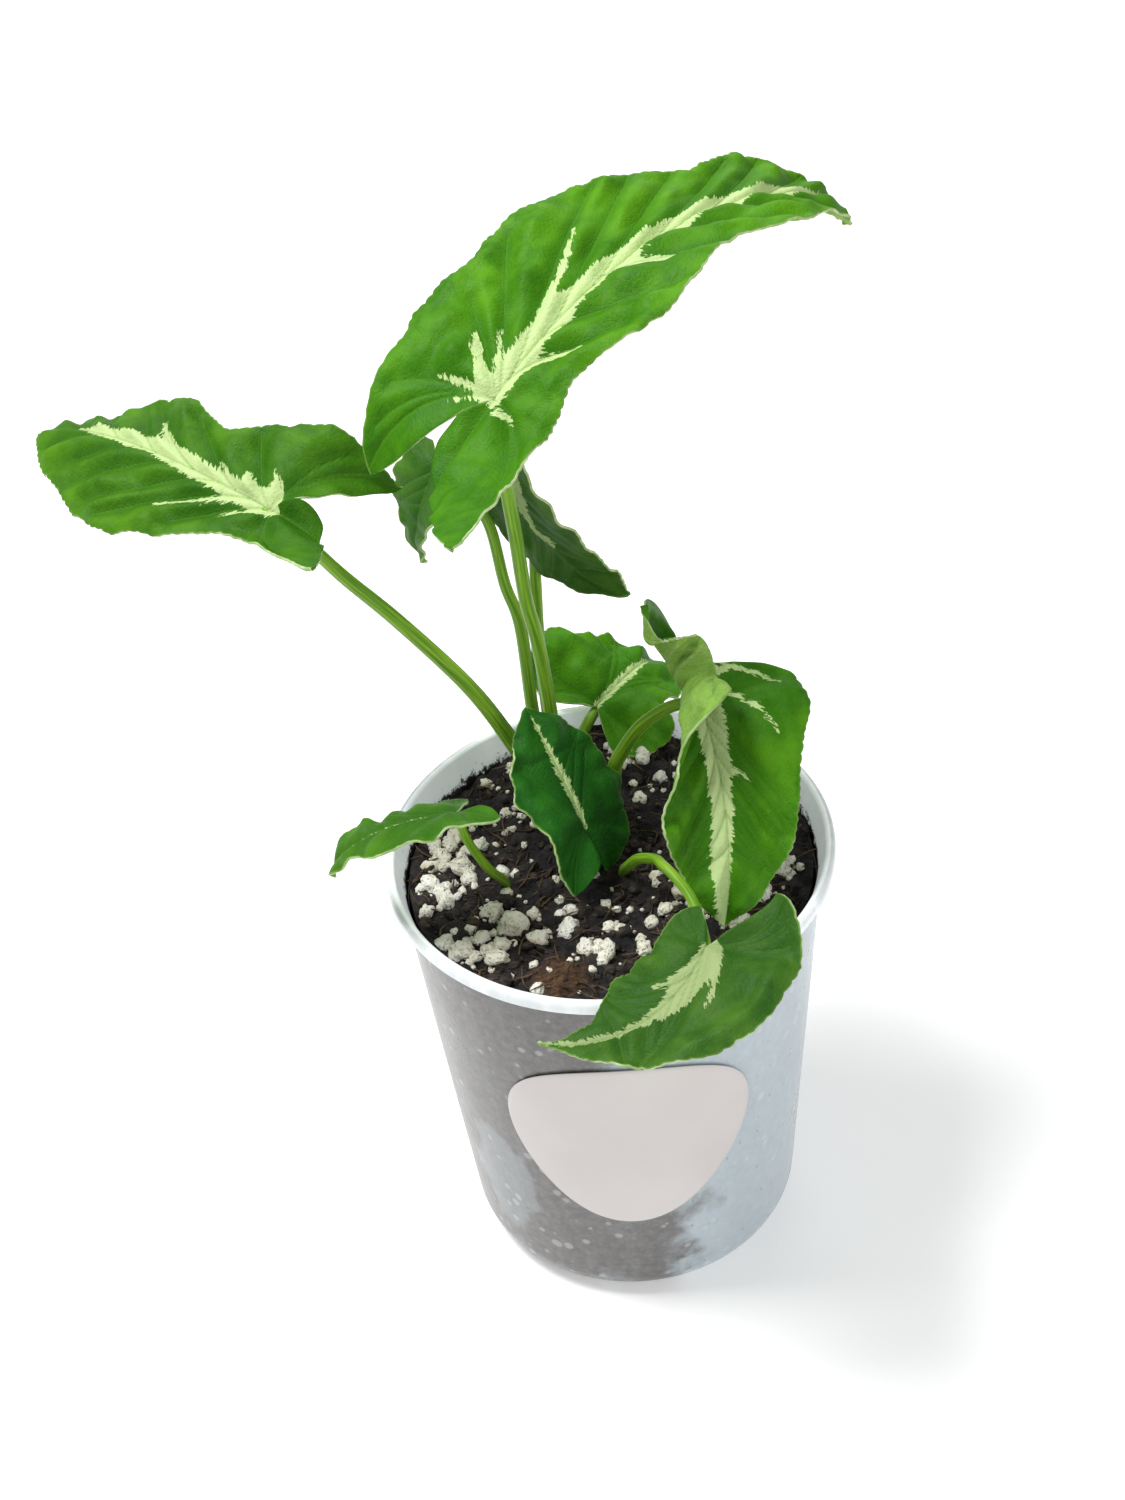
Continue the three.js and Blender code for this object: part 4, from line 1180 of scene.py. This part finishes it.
def wall_over_mix(paint, settings, place, clouds, crumbs):
    """The wall's colour over the mix: wet mix lies against it on the left and dry mix on the right"""
    pale_haze, gap_shadow, wet_crumb = (0.46, 0.53, 0.58), (0.20, 0.215, 0.22), (0.135, 0.118, 0.108)
    grain, speck = (0.68, 0.69, 0.70), (0.10, 0.09, 0.085)
    # a hazy gap low on the left, with painted shadow in it
    gap = paint.measured("DISTANCE", paint.scaled(place, (1, 1, 0.45)), (-27, -26, 13))
    shadowed_gap = (gap + (clouds - 0.5) * 22).below(8, 10.5)
    wet = (clouds * 0.9 + place.part(0) * -0.014).above(0.28, 0.5) - shadowed_gap * 0.45
    haze = paint.mix(crumbs.above(0.3, 0.75), settings.haze[:], pale_haze)
    # painted shadow: the haze dims in the gap
    haze = paint.mix(shadowed_gap * 0.5, haze, gap_shadow)
    dark = paint.mix(crumbs.above(0.35, 0.7), settings.wet[:], wet_crumb)
    wall = paint.mix(wet * 0.92, haze, dark)
    sizes = paint.noise(place, 6, detail=0)
    grains = (paint.cells(place, 4.2) - (sizes - 0.5) * 0.5).below(0.08, 0.2)
    wall = paint.mix(grains * 0.3, wall, grain)
    specks = paint.cells(paint.scaled(place, (1, 1, 0.6)), 3.4)
    return paint.mix(specks.below(0.05, 0.12) * 0.4, wall, speck)


def wall_paint(settings):
    """Frosted plastic with wet mix, dry mix and perlite showing hazily through it"""
    paint = Paint("frosted_plastic", Specular_IOR_Level=0.5, Coat_Weight=0.2, Emission_Strength=1)
    bright, white = (0.88, 0.91, 0.93), (0.80, 0.84, 0.88)
    soil_colour, light_through = (0.03, 0.025, 0.024), (0.24, 0.255, 0.26)
    place = paint.place()
    height = place.part(2)
    clouds = paint.noise(place, 15, detail=4, roughness=0.55)
    crumbs = paint.noise(place, 2.0, detail=5, roughness=0.75)
    wall = wall_over_mix(paint, settings, place, clouds, crumbs)
    # the inner face lies within the middle of the wall, which is wider inside the rim
    radius = paint.measured("LENGTH", paint.scaled(place, (1, 1, 0)))
    middle = wall_radius(height) + height.above(95.8, 96.8) * 1.75 - POT["wall"] / 2
    inner = (radius - middle).below(-0.1, 0.1) * height.above(90, 91)
    # above the mix the wall is clear and pale, and a little soil clings to its inner face
    soiled = paint.noise(place, 1.5, detail=5, roughness=0.75)
    clinging = (height + (soiled - 0.5) * 10).below(93.5, 95)
    spatter = paint.noise(place, 0.9, detail=3, roughness=0.7).above(0.66, 0.72) * height.below(96, 99)
    soil = (clinging + spatter * 0.6) * inner
    clear = height.above(94.5, 97.4).greater(inner)
    streaks = paint.noise(paint.scaled(place, (1, 1, 0.12)), 5, detail=4, roughness=0.6)
    clear_colour = paint.mix(streaks.above(0.4, 0.75), settings.rim[:], bright)
    wall = paint.mix(clear, wall, clear_colour)
    wall = paint.mix(soil, wall, soil_colour)
    paint.set("Base Color", paint.mix(streaks.above(0.45, 0.8) * 0.06, wall, white))
    # painted light: the clear wall glows, most on its inner face, in place of light shining through the
    # plastic
    glow = clear * (1 - soil) * (0.35 + inner * 0.65)
    paint.set("Emission Color", paint.mix(glow, (0, 0, 0), light_through))
    paint.set("Roughness", 0.2 + clouds * 0.2)
    paint.bump(clouds * 2.0 + crumbs * 0.4, 0.15, 0.3)
    return paint.material


def label_paint(settings):
    """A blank label: smooth coated paper with a faint warm cloud and a little dirt"""
    paint = Paint("label_paper", Roughness=0.42, Coat_Weight=0.15, Coat_Roughness=0.35)
    cloud, shade, stain = (0.64, 0.60, 0.585), (0.55, 0.51, 0.50), (0.30, 0.27, 0.25)
    place = paint.place()
    tint = paint.mix(paint.noise(place, 22).above(0.3, 0.7), settings.label[:], cloud)
    fibre = paint.noise(place, 0.5, detail=3)
    tint = paint.mix(fibre.above(0.4, 0.8) * 0.12, tint, shade)
    dirt = paint.noise(place, 2.4, detail=5, roughness=0.8)
    paint.set("Base Color", paint.mix(dirt.above(0.68, 0.75) * 0.35, tint, stain))
    paint.bump(fibre, 0.03, 0.4)
    return paint.material


def peat_paint(name, settings, browned):
    """Moist peat: near black, brown where the fibre noise is over browned, reddish near the front"""
    paint = Paint(name, Specular_IOR_Level=0.3)
    crumb, fibre = (0.046, 0.036, 0.034), (0.11, 0.075, 0.052)
    dark_red, red_brown = (0.06, 0.028, 0.016), (0.17, 0.09, 0.035)
    place = paint.place()
    lumps = paint.noise(place, 3.2, detail=6, roughness=0.7)
    strands = paint.scaled(place, (0.35, 1.3, 1))
    fibres = paint.noise(strands, 1.1, detail=4, roughness=0.7, distortion=1.5)
    peat = paint.mix(lumps.above(0.38, 0.72), settings.peat[:], crumb)
    peat = paint.mix(fibres.above(browned, browned + 0.15) * 0.7, peat, fibre)
    away = paint.measured("DISTANCE", place, (-11.4, -32.4, 97))
    lump = (away + (lumps - 0.5) * 6).below(3.5, 7.5)
    bark = paint.mix(fibres.above(0.4, 0.7), dark_red, red_brown)
    paint.set("Base Color", paint.mix(lump * 0.85, peat, bark))
    paint.set("Roughness", 0.62 + lumps * 0.3)
    paint.bump(lumps + fibres * 0.5, 0.9, 1.0)
    return paint.material


def fibre_paint():
    """Coarse brown fibres, paler and darker from place to place"""
    paint = Paint("peat_fibre", Roughness=0.8, Specular_IOR_Level=0.2)
    dark, brown, black = (0.035, 0.024, 0.018), (0.15, 0.095, 0.055), (0.02, 0.014, 0.011)
    place = paint.place()
    fine = paint.noise(place, 0.5, detail=3)
    bark = paint.mix(paint.noise(place, 5).above(0.35, 0.68), dark, brown)
    paint.set("Base Color", paint.mix(fine.above(0.4, 0.7) * 0.4, bark, black))
    paint.bump(fine, 0.1, 0.7)
    return paint.material


def perlite_paint(settings):
    """Perlite: cream-white grains with dark pores and stains"""
    paint = Paint("perlite", Roughness=0.75, Specular_IOR_Level=0.3)
    stained, grey_white, spotted = (0.55, 0.48, 0.33), (0.88, 0.87, 0.85), (0.12, 0.09, 0.06)
    place = paint.place()
    stain = paint.noise(place, 4, detail=3, roughness=0.6)
    body = paint.mix(stain.above(0.45, 0.8), settings.perlite[:], stained)
    body = paint.mix(paint.noise(place, 9, detail=1).above(0.4, 0.7) * 0.6, body, grey_white)
    spots = paint.noise(place, 1.0, detail=4, roughness=0.7)
    paint.set("Base Color", paint.mix(spots.above(0.60, 0.68) * 0.8, body, spotted))
    paint.bump(paint.cells(place, 0.75).above(0.05, 0.5) + spots * -0.8, 0.35, 0.9)
    return paint.material


# Operators, one for each piece or group of like pieces


class PLANT_OT_pot(bpy.types.Operator):
    """Adds the round nursery pot with its rolled rim and drain holes"""

    bl_idname = "plant.pot"
    bl_label = "Pot"

    def execute(self, context):
        settings = context.scene.plant_pot
        high, low = POT["height"], POT["height"] - POT["lip_height"]
        rim, thick = POT["rim_radius"], POT["lip_wall"]
        round_under, round_out, round_in = 0.7, 1.1, 0.8
        corner = POT["foot_rounding"]
        foot = wall_radius(corner) - corner
        profile = [
            (1, 0.0), (foot * 0.5, 0.0), *arc((foot, corner), corner, -90, 0, 10),
            *((wall_radius(z), z) for z in range(16, 96, 8)),
            (wall_radius(low), low), (rim - round_under, low),
            *arc((rim - round_under, low + round_under), round_under, -60, 0, 4),
            *arc((rim - round_out, high - round_out), round_out, 0, 90, 6),
            *arc((rim - thick + round_in, high - round_in), round_in, 90, 180, 6),
            (wall_radius(low) - POT["wall"], low - 2),
            *((wall_radius(z) - POT["wall"], z) for z in range(88, 15, -8)),
            *arc((foot, corner), corner - POT["floor"], 0, -90, 8),
            (foot * 0.5, POT["floor"]), (1, POT["floor"]),
        ]
        pot = turned("nursery_pot_shell", profile, settings.sides)
        drills = []
        circle = POT["drain_circle"] * MM
        for i in range(POT["drains"]):
            angle = (i + 0.5) / POT["drains"] * math.tau
            drills.append(added(
                "drill", bpy.ops.mesh.primitive_cylinder_add, vertices=24,
                radius=POT["drain_radius"] * MM, depth=6 * MM,
                location=(circle * math.cos(angle), circle * math.sin(angle), 0),
            ))
        cutter = joined("drain_cutter", drills)
        applied(pot, "BOOLEAN", operation="DIFFERENCE", object=cutter, solver="EXACT")
        bpy.data.objects.remove(cutter)
        finished(pot, "clear_plastic", [wall_paint(settings)], "nursery_pot")
        only(pot)
        bpy.ops.object.shade_smooth_by_angle(angle=40 * DEG)
        return {"FINISHED"}


class PLANT_OT_label(bpy.types.Operator):
    """Adds the blank label, a rounded triangle lying on the front of the pot"""

    bl_idname = "plant.label"
    bl_label = "Label"

    def execute(self, context):
        settings = context.scene.plant_pot
        rings, around = 22, 120
        angle = np.linspace(0, math.tau, around + 1)
        share = np.linspace(0, 1, rings + 1)[:, None]
        pull = 1 + LABEL["corners"] * np.sin(3 * angle)
        widening = 1 + LABEL["widening"] * np.sin(angle)
        level = LABEL["half_width"] * np.cos(angle) * pull * widening * share
        upright = LABEL["half_height"] * np.sin(angle) * pull * share
        tilt = LABEL["tilt"] * DEG
        wide = level * math.cos(tilt) - upright * math.sin(tilt)
        tall = LABEL["height"] + level * math.sin(tilt) + upright * math.cos(tilt)
        reach = wall_radius(LABEL["height"]) + LABEL["gap"]
        turn = wide / reach + LABEL["turn"] * DEG
        radius = wall_radius(tall) + LABEL["gap"]
        points = np.stack([radius * np.sin(turn), -radius * np.cos(turn), tall], -1)
        plan = np.stack([wide, tall], -1)
        label = sheet("blank_label", points[:, ::-1], plan[:, ::-1])
        merged(label)
        applied(label, "SOLIDIFY", thickness=0.2 * MM, offset=1)
        applied(label, "BEVEL", width=0.05 * MM, segments=1, limit_method="ANGLE", angle_limit=50 * DEG)
        finished(label, "label_paper", [label_paint(settings)], "front_label")
        return {"FINISHED"}


class PLANT_OT_mix(bpy.types.Operator):
    """Adds the potting mix as one closed body with a crumbly top"""

    bl_idname = "plant.mix"
    bl_label = "Potting Mix"

    def execute(self, context):
        settings = context.scene.plant_mix
        around, rings = 340, 88
        base = POT["floor"] + 0.3
        gap = POT["wall"] + 0.45
        corner = POT["foot_rounding"]
        foot = wall_radius(corner) - corner
        outline = [
            (0, base), (12, base), (foot, base), *arc((foot, corner), corner - base, -70, 0, 4),
            *((wall_radius(z) - gap, z) for z in (20, 40, 60, 80, 88)),
        ]
        edge = wall_radius(90) - gap
        angle = np.linspace(0, math.tau, around + 1)
        rows = [
            np.stack([radius * np.cos(angle), radius * np.sin(angle), np.full(around + 1, z)], -1)
            for radius, z in outline
        ]
        # rings from the wall to the middle, with less of the fine unevenness at the wall
        for ring in range(rings, -1, -1):
            radius = edge * (ring / rings) ** 0.8
            x, y = radius * np.cos(angle), radius * np.sin(angle)
            fine = np.array([roughness_at(*at) for at in zip(x[:-1], y[:-1])])
            fine = np.append(fine, fine[0]) * min(1, (rings - ring) / 4 + 0.3)
            rows.append(np.stack([x, y, soil_height(x, y) + fine], -1))
        points = np.array(rows)
        mix = sheet("potting_mix_body", points, points[..., :2] / 100)
        merged(mix)
        finished(mix, "potting_mix", [peat_paint("moist_peat", settings, 0.58)], "potting_mix")
        return {"FINISHED"}


def lumpy_grain(kind, divisions, lump, seed):
    """An icosphere of radius 1 mm worked into an uneven grain of its kind"""
    grain = added(
        "grain", bpy.ops.mesh.primitive_ico_sphere_add, subdivisions=divisions, radius=MM,
    )
    shift = seed * kind
    for vertex in grain.data.vertices:
        direction = vertex.co.normalized()
        swell = noise.noise(direction * 1.6 + Vector((shift, 0, 0)))
        dent = noise.noise(direction * 3.4 + Vector((0, shift, 0)))
        vertex.co = direction * MM * (1 + lump * swell + 0.5 * lump * dent)
    return grain


def bent_fibre(kind):
    """A thin fibre 6.4 mm long, bent its kind's way"""
    t = np.linspace(-1, 1, 8)
    sag = -0.35 * t ** 2 + 0.12 * np.sin(5 * t)
    path = np.stack([3.2 * t, 0.9 * np.sin(2.2 * t + kind), sag], -1)
    return tube("fibre", path, 0.16 * np.sqrt(np.maximum(0, 1 - t ** 6)), sides=4)


def tipped(draw, tip, axis):
    """A turn that tips a copy by up to tip about an axis, then turns it round by any angle"""
    turn = Matrix.Rotation(draw.uniform(0, math.tau), 4, "Z")
    return turn @ Matrix.Rotation(draw.uniform(-tip, tip), 4, axis)


def placed(x, y, z, turn, sizes):
    """The transform that sizes, turns and places a copy, in millimetres"""
    return Matrix.Translation(Vector((x, y, z)) * MM) @ turn @ Matrix.Diagonal((*sizes, 1))


def placed_grain(x, y, z, draw, size, flat=1.0):
    """The transform of a grain of about this size, with its own length, width and height"""
    turn = tipped(draw, 0.6, "X")
    long, wide, high = draw.uniform(0.85, 1.2), draw.uniform(0.8, 1.15), draw.uniform(0.75, 0.95)
    return placed(x, y, z, turn, (size * long, size * wide, size * high * flat))


def placed_fibre(x, y, z, draw):
    """The transform of a fibre, which gets its own length and thickness"""
    turn = tipped(draw, 0.25, "Y")
    length, width = draw.uniform(0.5, 1.6), draw.uniform(0.6, 1.4)
    return placed(x, y, z, turn, (length, width, width))


def open_places(draw, count, near):
    """Places on the mix: a share near the larger grains, the rest anywhere, all clear of the stalks"""
    feet = [leaf["stalk"]["route"][0][:2] for leaf in LEAVES.values()]
    stalk_gap = 2.6
    reach = wall_radius(90) - POT["wall"] - 1.5
    found = []
    while len(found) < count:
        if draw.random() < near:
            middle_x, middle_y, radius = draw.choice(LARGE_GRAINS)
            away = radius + draw.expovariate(0.45)
            angle = draw.uniform(0, math.tau)
        else:
            middle_x, middle_y = 0, 0
            angle = draw.uniform(0, math.tau)
            away = reach * math.sqrt(draw.random())
        x, y = middle_x + away * math.cos(angle), middle_y + away * math.sin(angle)
        clear = all(math.hypot(x - foot[0], y - foot[1]) > stalk_gap for foot in feet)
        if math.hypot(x, y) < reach and clear:
            found.append((x, y))
    return found


class PLANT_OT_perlite(bpy.types.Operator):
    """Adds the perlite: large grains where the solid model has them, and many small ones"""

    bl_idname = "plant.perlite"
    bl_label = "Perlite"

    def execute(self, context):
        settings = context.scene.plant_mix
        draw = random.Random(settings.seed)
        large = [
            placed_grain(x, y, float(soil_height(x, y)) + radius * 0.25, draw, radius)
            for x, y, radius in LARGE_GRAINS
        ]
        small = []
        for x, y in open_places(draw, settings.small_grains, 0.55):
            size = min(1.7, 0.35 + draw.expovariate(2.2))
            small.append(placed_grain(x, y, surface_height(x, y) + size * 0.2, draw, size))
        grains = [
            *scattered("large", 5, large, lumpy_grain, divisions=3, lump=0.45, seed=3.1),
            *scattered("small", 5, small, lumpy_grain, divisions=2, lump=0.4, seed=5.3),
        ]
        finished(joined("perlite_grains", grains), "potting_mix", [perlite_paint(settings)])
        return {"FINISHED"}


class PLANT_OT_peat(bpy.types.Operator):
    """Adds the loose crumbs and fibres of peat on the mix"""

    bl_idname = "plant.peat"
    bl_label = "Crumbs and Fibres"

    def execute(self, context):
        settings = context.scene.plant_mix
        draw = random.Random(settings.seed + 1)
        crumbs = []
        for x, y in open_places(draw, settings.crumbs, 0.2):
            size = min(2.2, 0.4 + draw.expovariate(2.4))
            crumbs.append(placed_grain(x, y, surface_height(x, y), draw, size, flat=0.7))
        groups = scattered("crumb", 3, crumbs, lumpy_grain, divisions=1, lump=0.6, seed=2.3)
        paint = peat_paint("peat_crumb", settings, 0.46)
        finished(joined("peat_crumbs", groups), "potting_mix", [paint])
        fibres = [
            placed_fibre(x, y, surface_height(x, y) + 0.35, draw)
            for x, y in open_places(draw, settings.fibres, 0.1)
        ]
        groups = scattered("fibre", 3, fibres, bent_fibre)
        finished(joined("peat_fibres", groups), "potting_mix", [fibre_paint()])
        return {"FINISHED"}


class PLANT_OT_blades(bpy.types.Operator):
    """Adds the nine blades with their quilting, scallops and stripes"""

    bl_idname = "plant.blades"
    bl_label = "Leaf Blades"

    def execute(self, context):
        settings = context.scene.plant_blade
        # one blade paint in lit and shaded copies: the bright tone is partly painted light, the dull and
        # dark tones are painted shade, and their cream is darkened by paleness as well
        cream_paleness = {"bright": 0.93, "green": 0.88, "dull": 0.62, "dark": 0.85}
        tones = {
            tone: blade_paint(f"leaf_{tone}", getattr(settings, tone)[:], settings.cream[:], paleness)
            for tone, paleness in cream_paleness.items()
        }
        under, margin = underside_paint(settings.underside[:]), margin_paint()
        for name, leaf in LEAVES.items():
            halves = [blade_half(leaf, side, settings) for side in SIDES]
            blade = joined(f"blade_{name}", halves)
            merged(blade, 0.004)
            faces = [tones[leaf["tone"]], under]
            if leaf.get("turned_over"):
                faces.reverse()
            for material in (*faces, margin):
                blade.data.materials.append(material)
            applied(
                blade, "SOLIDIFY", thickness=settings.thickness, offset=0, material_offset=1,
                material_offset_rim=2, use_rim=True,
            )
            finished(blade, leaf["slot"], [], f"leaf_{name}")
        return {"FINISHED"}


class PLANT_OT_stalks(bpy.types.Operator):
    """Adds the nine stalks, which taper upwards and stand in the mix"""

    bl_idname = "plant.stalks"
    bl_label = "Stalks"

    def execute(self, context):
        paint = stalk_paint()
        buried, under_blade, past_junction = 6, 0.3, 2.5
        for name, leaf in LEAVES.items():
            at, ahead, across = start_frame(leaf)
            thick, thin = leaf["stalk"]["radii"]
            x, y, z = leaf["stalk"]["route"][0]
            tip = at - across.cross(ahead) * (thin + under_blade)
            end = tip + ahead * past_junction
            path = smooth_path([(x, y, z - buried), *leaf["stalk"]["route"], tuple(tip), tuple(end)])
            share = np.linspace(0, 1, len(path))
            rounded_top = np.sqrt(np.clip(1 - (share * 1.02 - 0.02) ** 60, 0, 1))
            rounded_foot = np.sqrt(np.clip(share * 40, 0, 1))
            radii = (thick + (thin - thick) * share) * (rounded_top * rounded_foot)
            stalk = tube(f"petiole_{name}", path, radii, flatten=0.08)
            finished(stalk, "leaf_stalk", [paint], f"stalk_{name}")
        return {"FINISHED"}


class PLANT_OT_stage(bpy.types.Operator):
    """Adds the pale floor, the soft lights and the photograph's camera"""

    bl_idname = "plant.stage"
    bl_label = "Stage"

    def execute(self, context):
        scene = context.scene
        floor = added("floor", bpy.ops.mesh.primitive_plane_add, size=6)
        paint = Paint("floor", Roughness=0.9, Emission_Strength=0.28)
        paint.set("Base Color", (0.93, 0.93, 0.93))
        paint.set("Emission Color", (1, 1, 1))
        floor.data.materials.append(paint.material)

        right, up = Vector(CAMERA["right"]), Vector(CAMERA["up"])
        turn = Matrix((right, up, right.cross(up))).transposed().to_4x4()
        camera = added("Camera", bpy.ops.object.camera_add)
        camera.matrix_world = Matrix.Translation(Vector(CAMERA["at"]) * MM) @ turn
        camera.data.lens = CAMERA["focal_pixels"] / CAMERA["picture_height"] * CAMERA["sensor"]
        camera.data.sensor_width = CAMERA["sensor"]
        camera.data.clip_start = 0.01
        scene.camera = camera

        # white behind the plant, softer as light on it
        scene.world = world = scene.world or bpy.data.worlds.new("studio")
        world.use_nodes = True
        nodes, links = world.node_tree.nodes, world.node_tree.links
        background = nodes["Background"]
        background.inputs["Color"].default_value = (1, 1, 1, 1)
        seen = nodes.new("ShaderNodeLightPath")
        strength = nodes.new("ShaderNodeMapRange")
        strength.inputs["To Min"].default_value = 0.31
        links.new(seen.outputs["Is Camera Ray"], strength.inputs["Value"])
        links.new(strength.outputs["Result"], background.inputs["Strength"])

        # each light's place, size and power; all point at the middle of the plant
        lights = {
            "key_light": ((-0.36, 0.04, 0.95), 0.35, 9.5),
            "fill_light": ((0.55, -0.6, 0.5), 0.6, 2.2),
            "back_light": ((0.1, 0.8, 0.6), 0.6, 1.5),
        }
        for name, (at, size, power) in lights.items():
            light = added(name, bpy.ops.object.light_add, type="AREA", location=at)
            light.data.size = size
            light.data.energy = power
            aim = Vector((0, 0, 0.12)) - Vector(at)
            light.rotation_euler = aim.to_track_quat("-Z", "Y").to_euler()
        scene.view_settings.view_transform = "Standard"
        return {"FINISHED"}


class PLANT_PT_panel(bpy.types.Panel):
    """Lists the plant's pieces in the order in which they are added"""

    bl_label = "Plant"
    bl_idname = "PLANT_PT_panel"
    bl_space_type = "VIEW_3D"
    bl_region_type = "UI"
    bl_category = "Plant"

    def draw(self, context):
        for group in GROUPS:
            settings = getattr(context.scene, group)
            box = self.layout.box()
            for name in settings.__annotations__:
                box.prop(settings, name)
        for operator in OPERATORS:
            self.layout.operator(operator.bl_idname)


GROUPS = {"plant_blade": BladeSettings, "plant_pot": PotSettings, "plant_mix": MixSettings}
OPERATORS = (
    PLANT_OT_stage, PLANT_OT_pot, PLANT_OT_label, PLANT_OT_mix, PLANT_OT_perlite, PLANT_OT_peat,
    PLANT_OT_blades, PLANT_OT_stalks,
)


def register():
    for group in (*GROUPS.values(), *OPERATORS, PLANT_PT_panel):
        bpy.utils.register_class(group)
    for name, group in GROUPS.items():
        setattr(bpy.types.Scene, name, bpy.props.PointerProperty(type=group))


def unregister():
    for name in GROUPS:
        delattr(bpy.types.Scene, name)
    for group in reversed((*GROUPS.values(), *OPERATORS, PLANT_PT_panel)):
        bpy.utils.unregister_class(group)


def main():
    register()
    for operator in OPERATORS:
        group, name = operator.bl_idname.split(".")
        getattr(getattr(bpy.ops, group), name)()


if __name__ == "__main__":
    main()
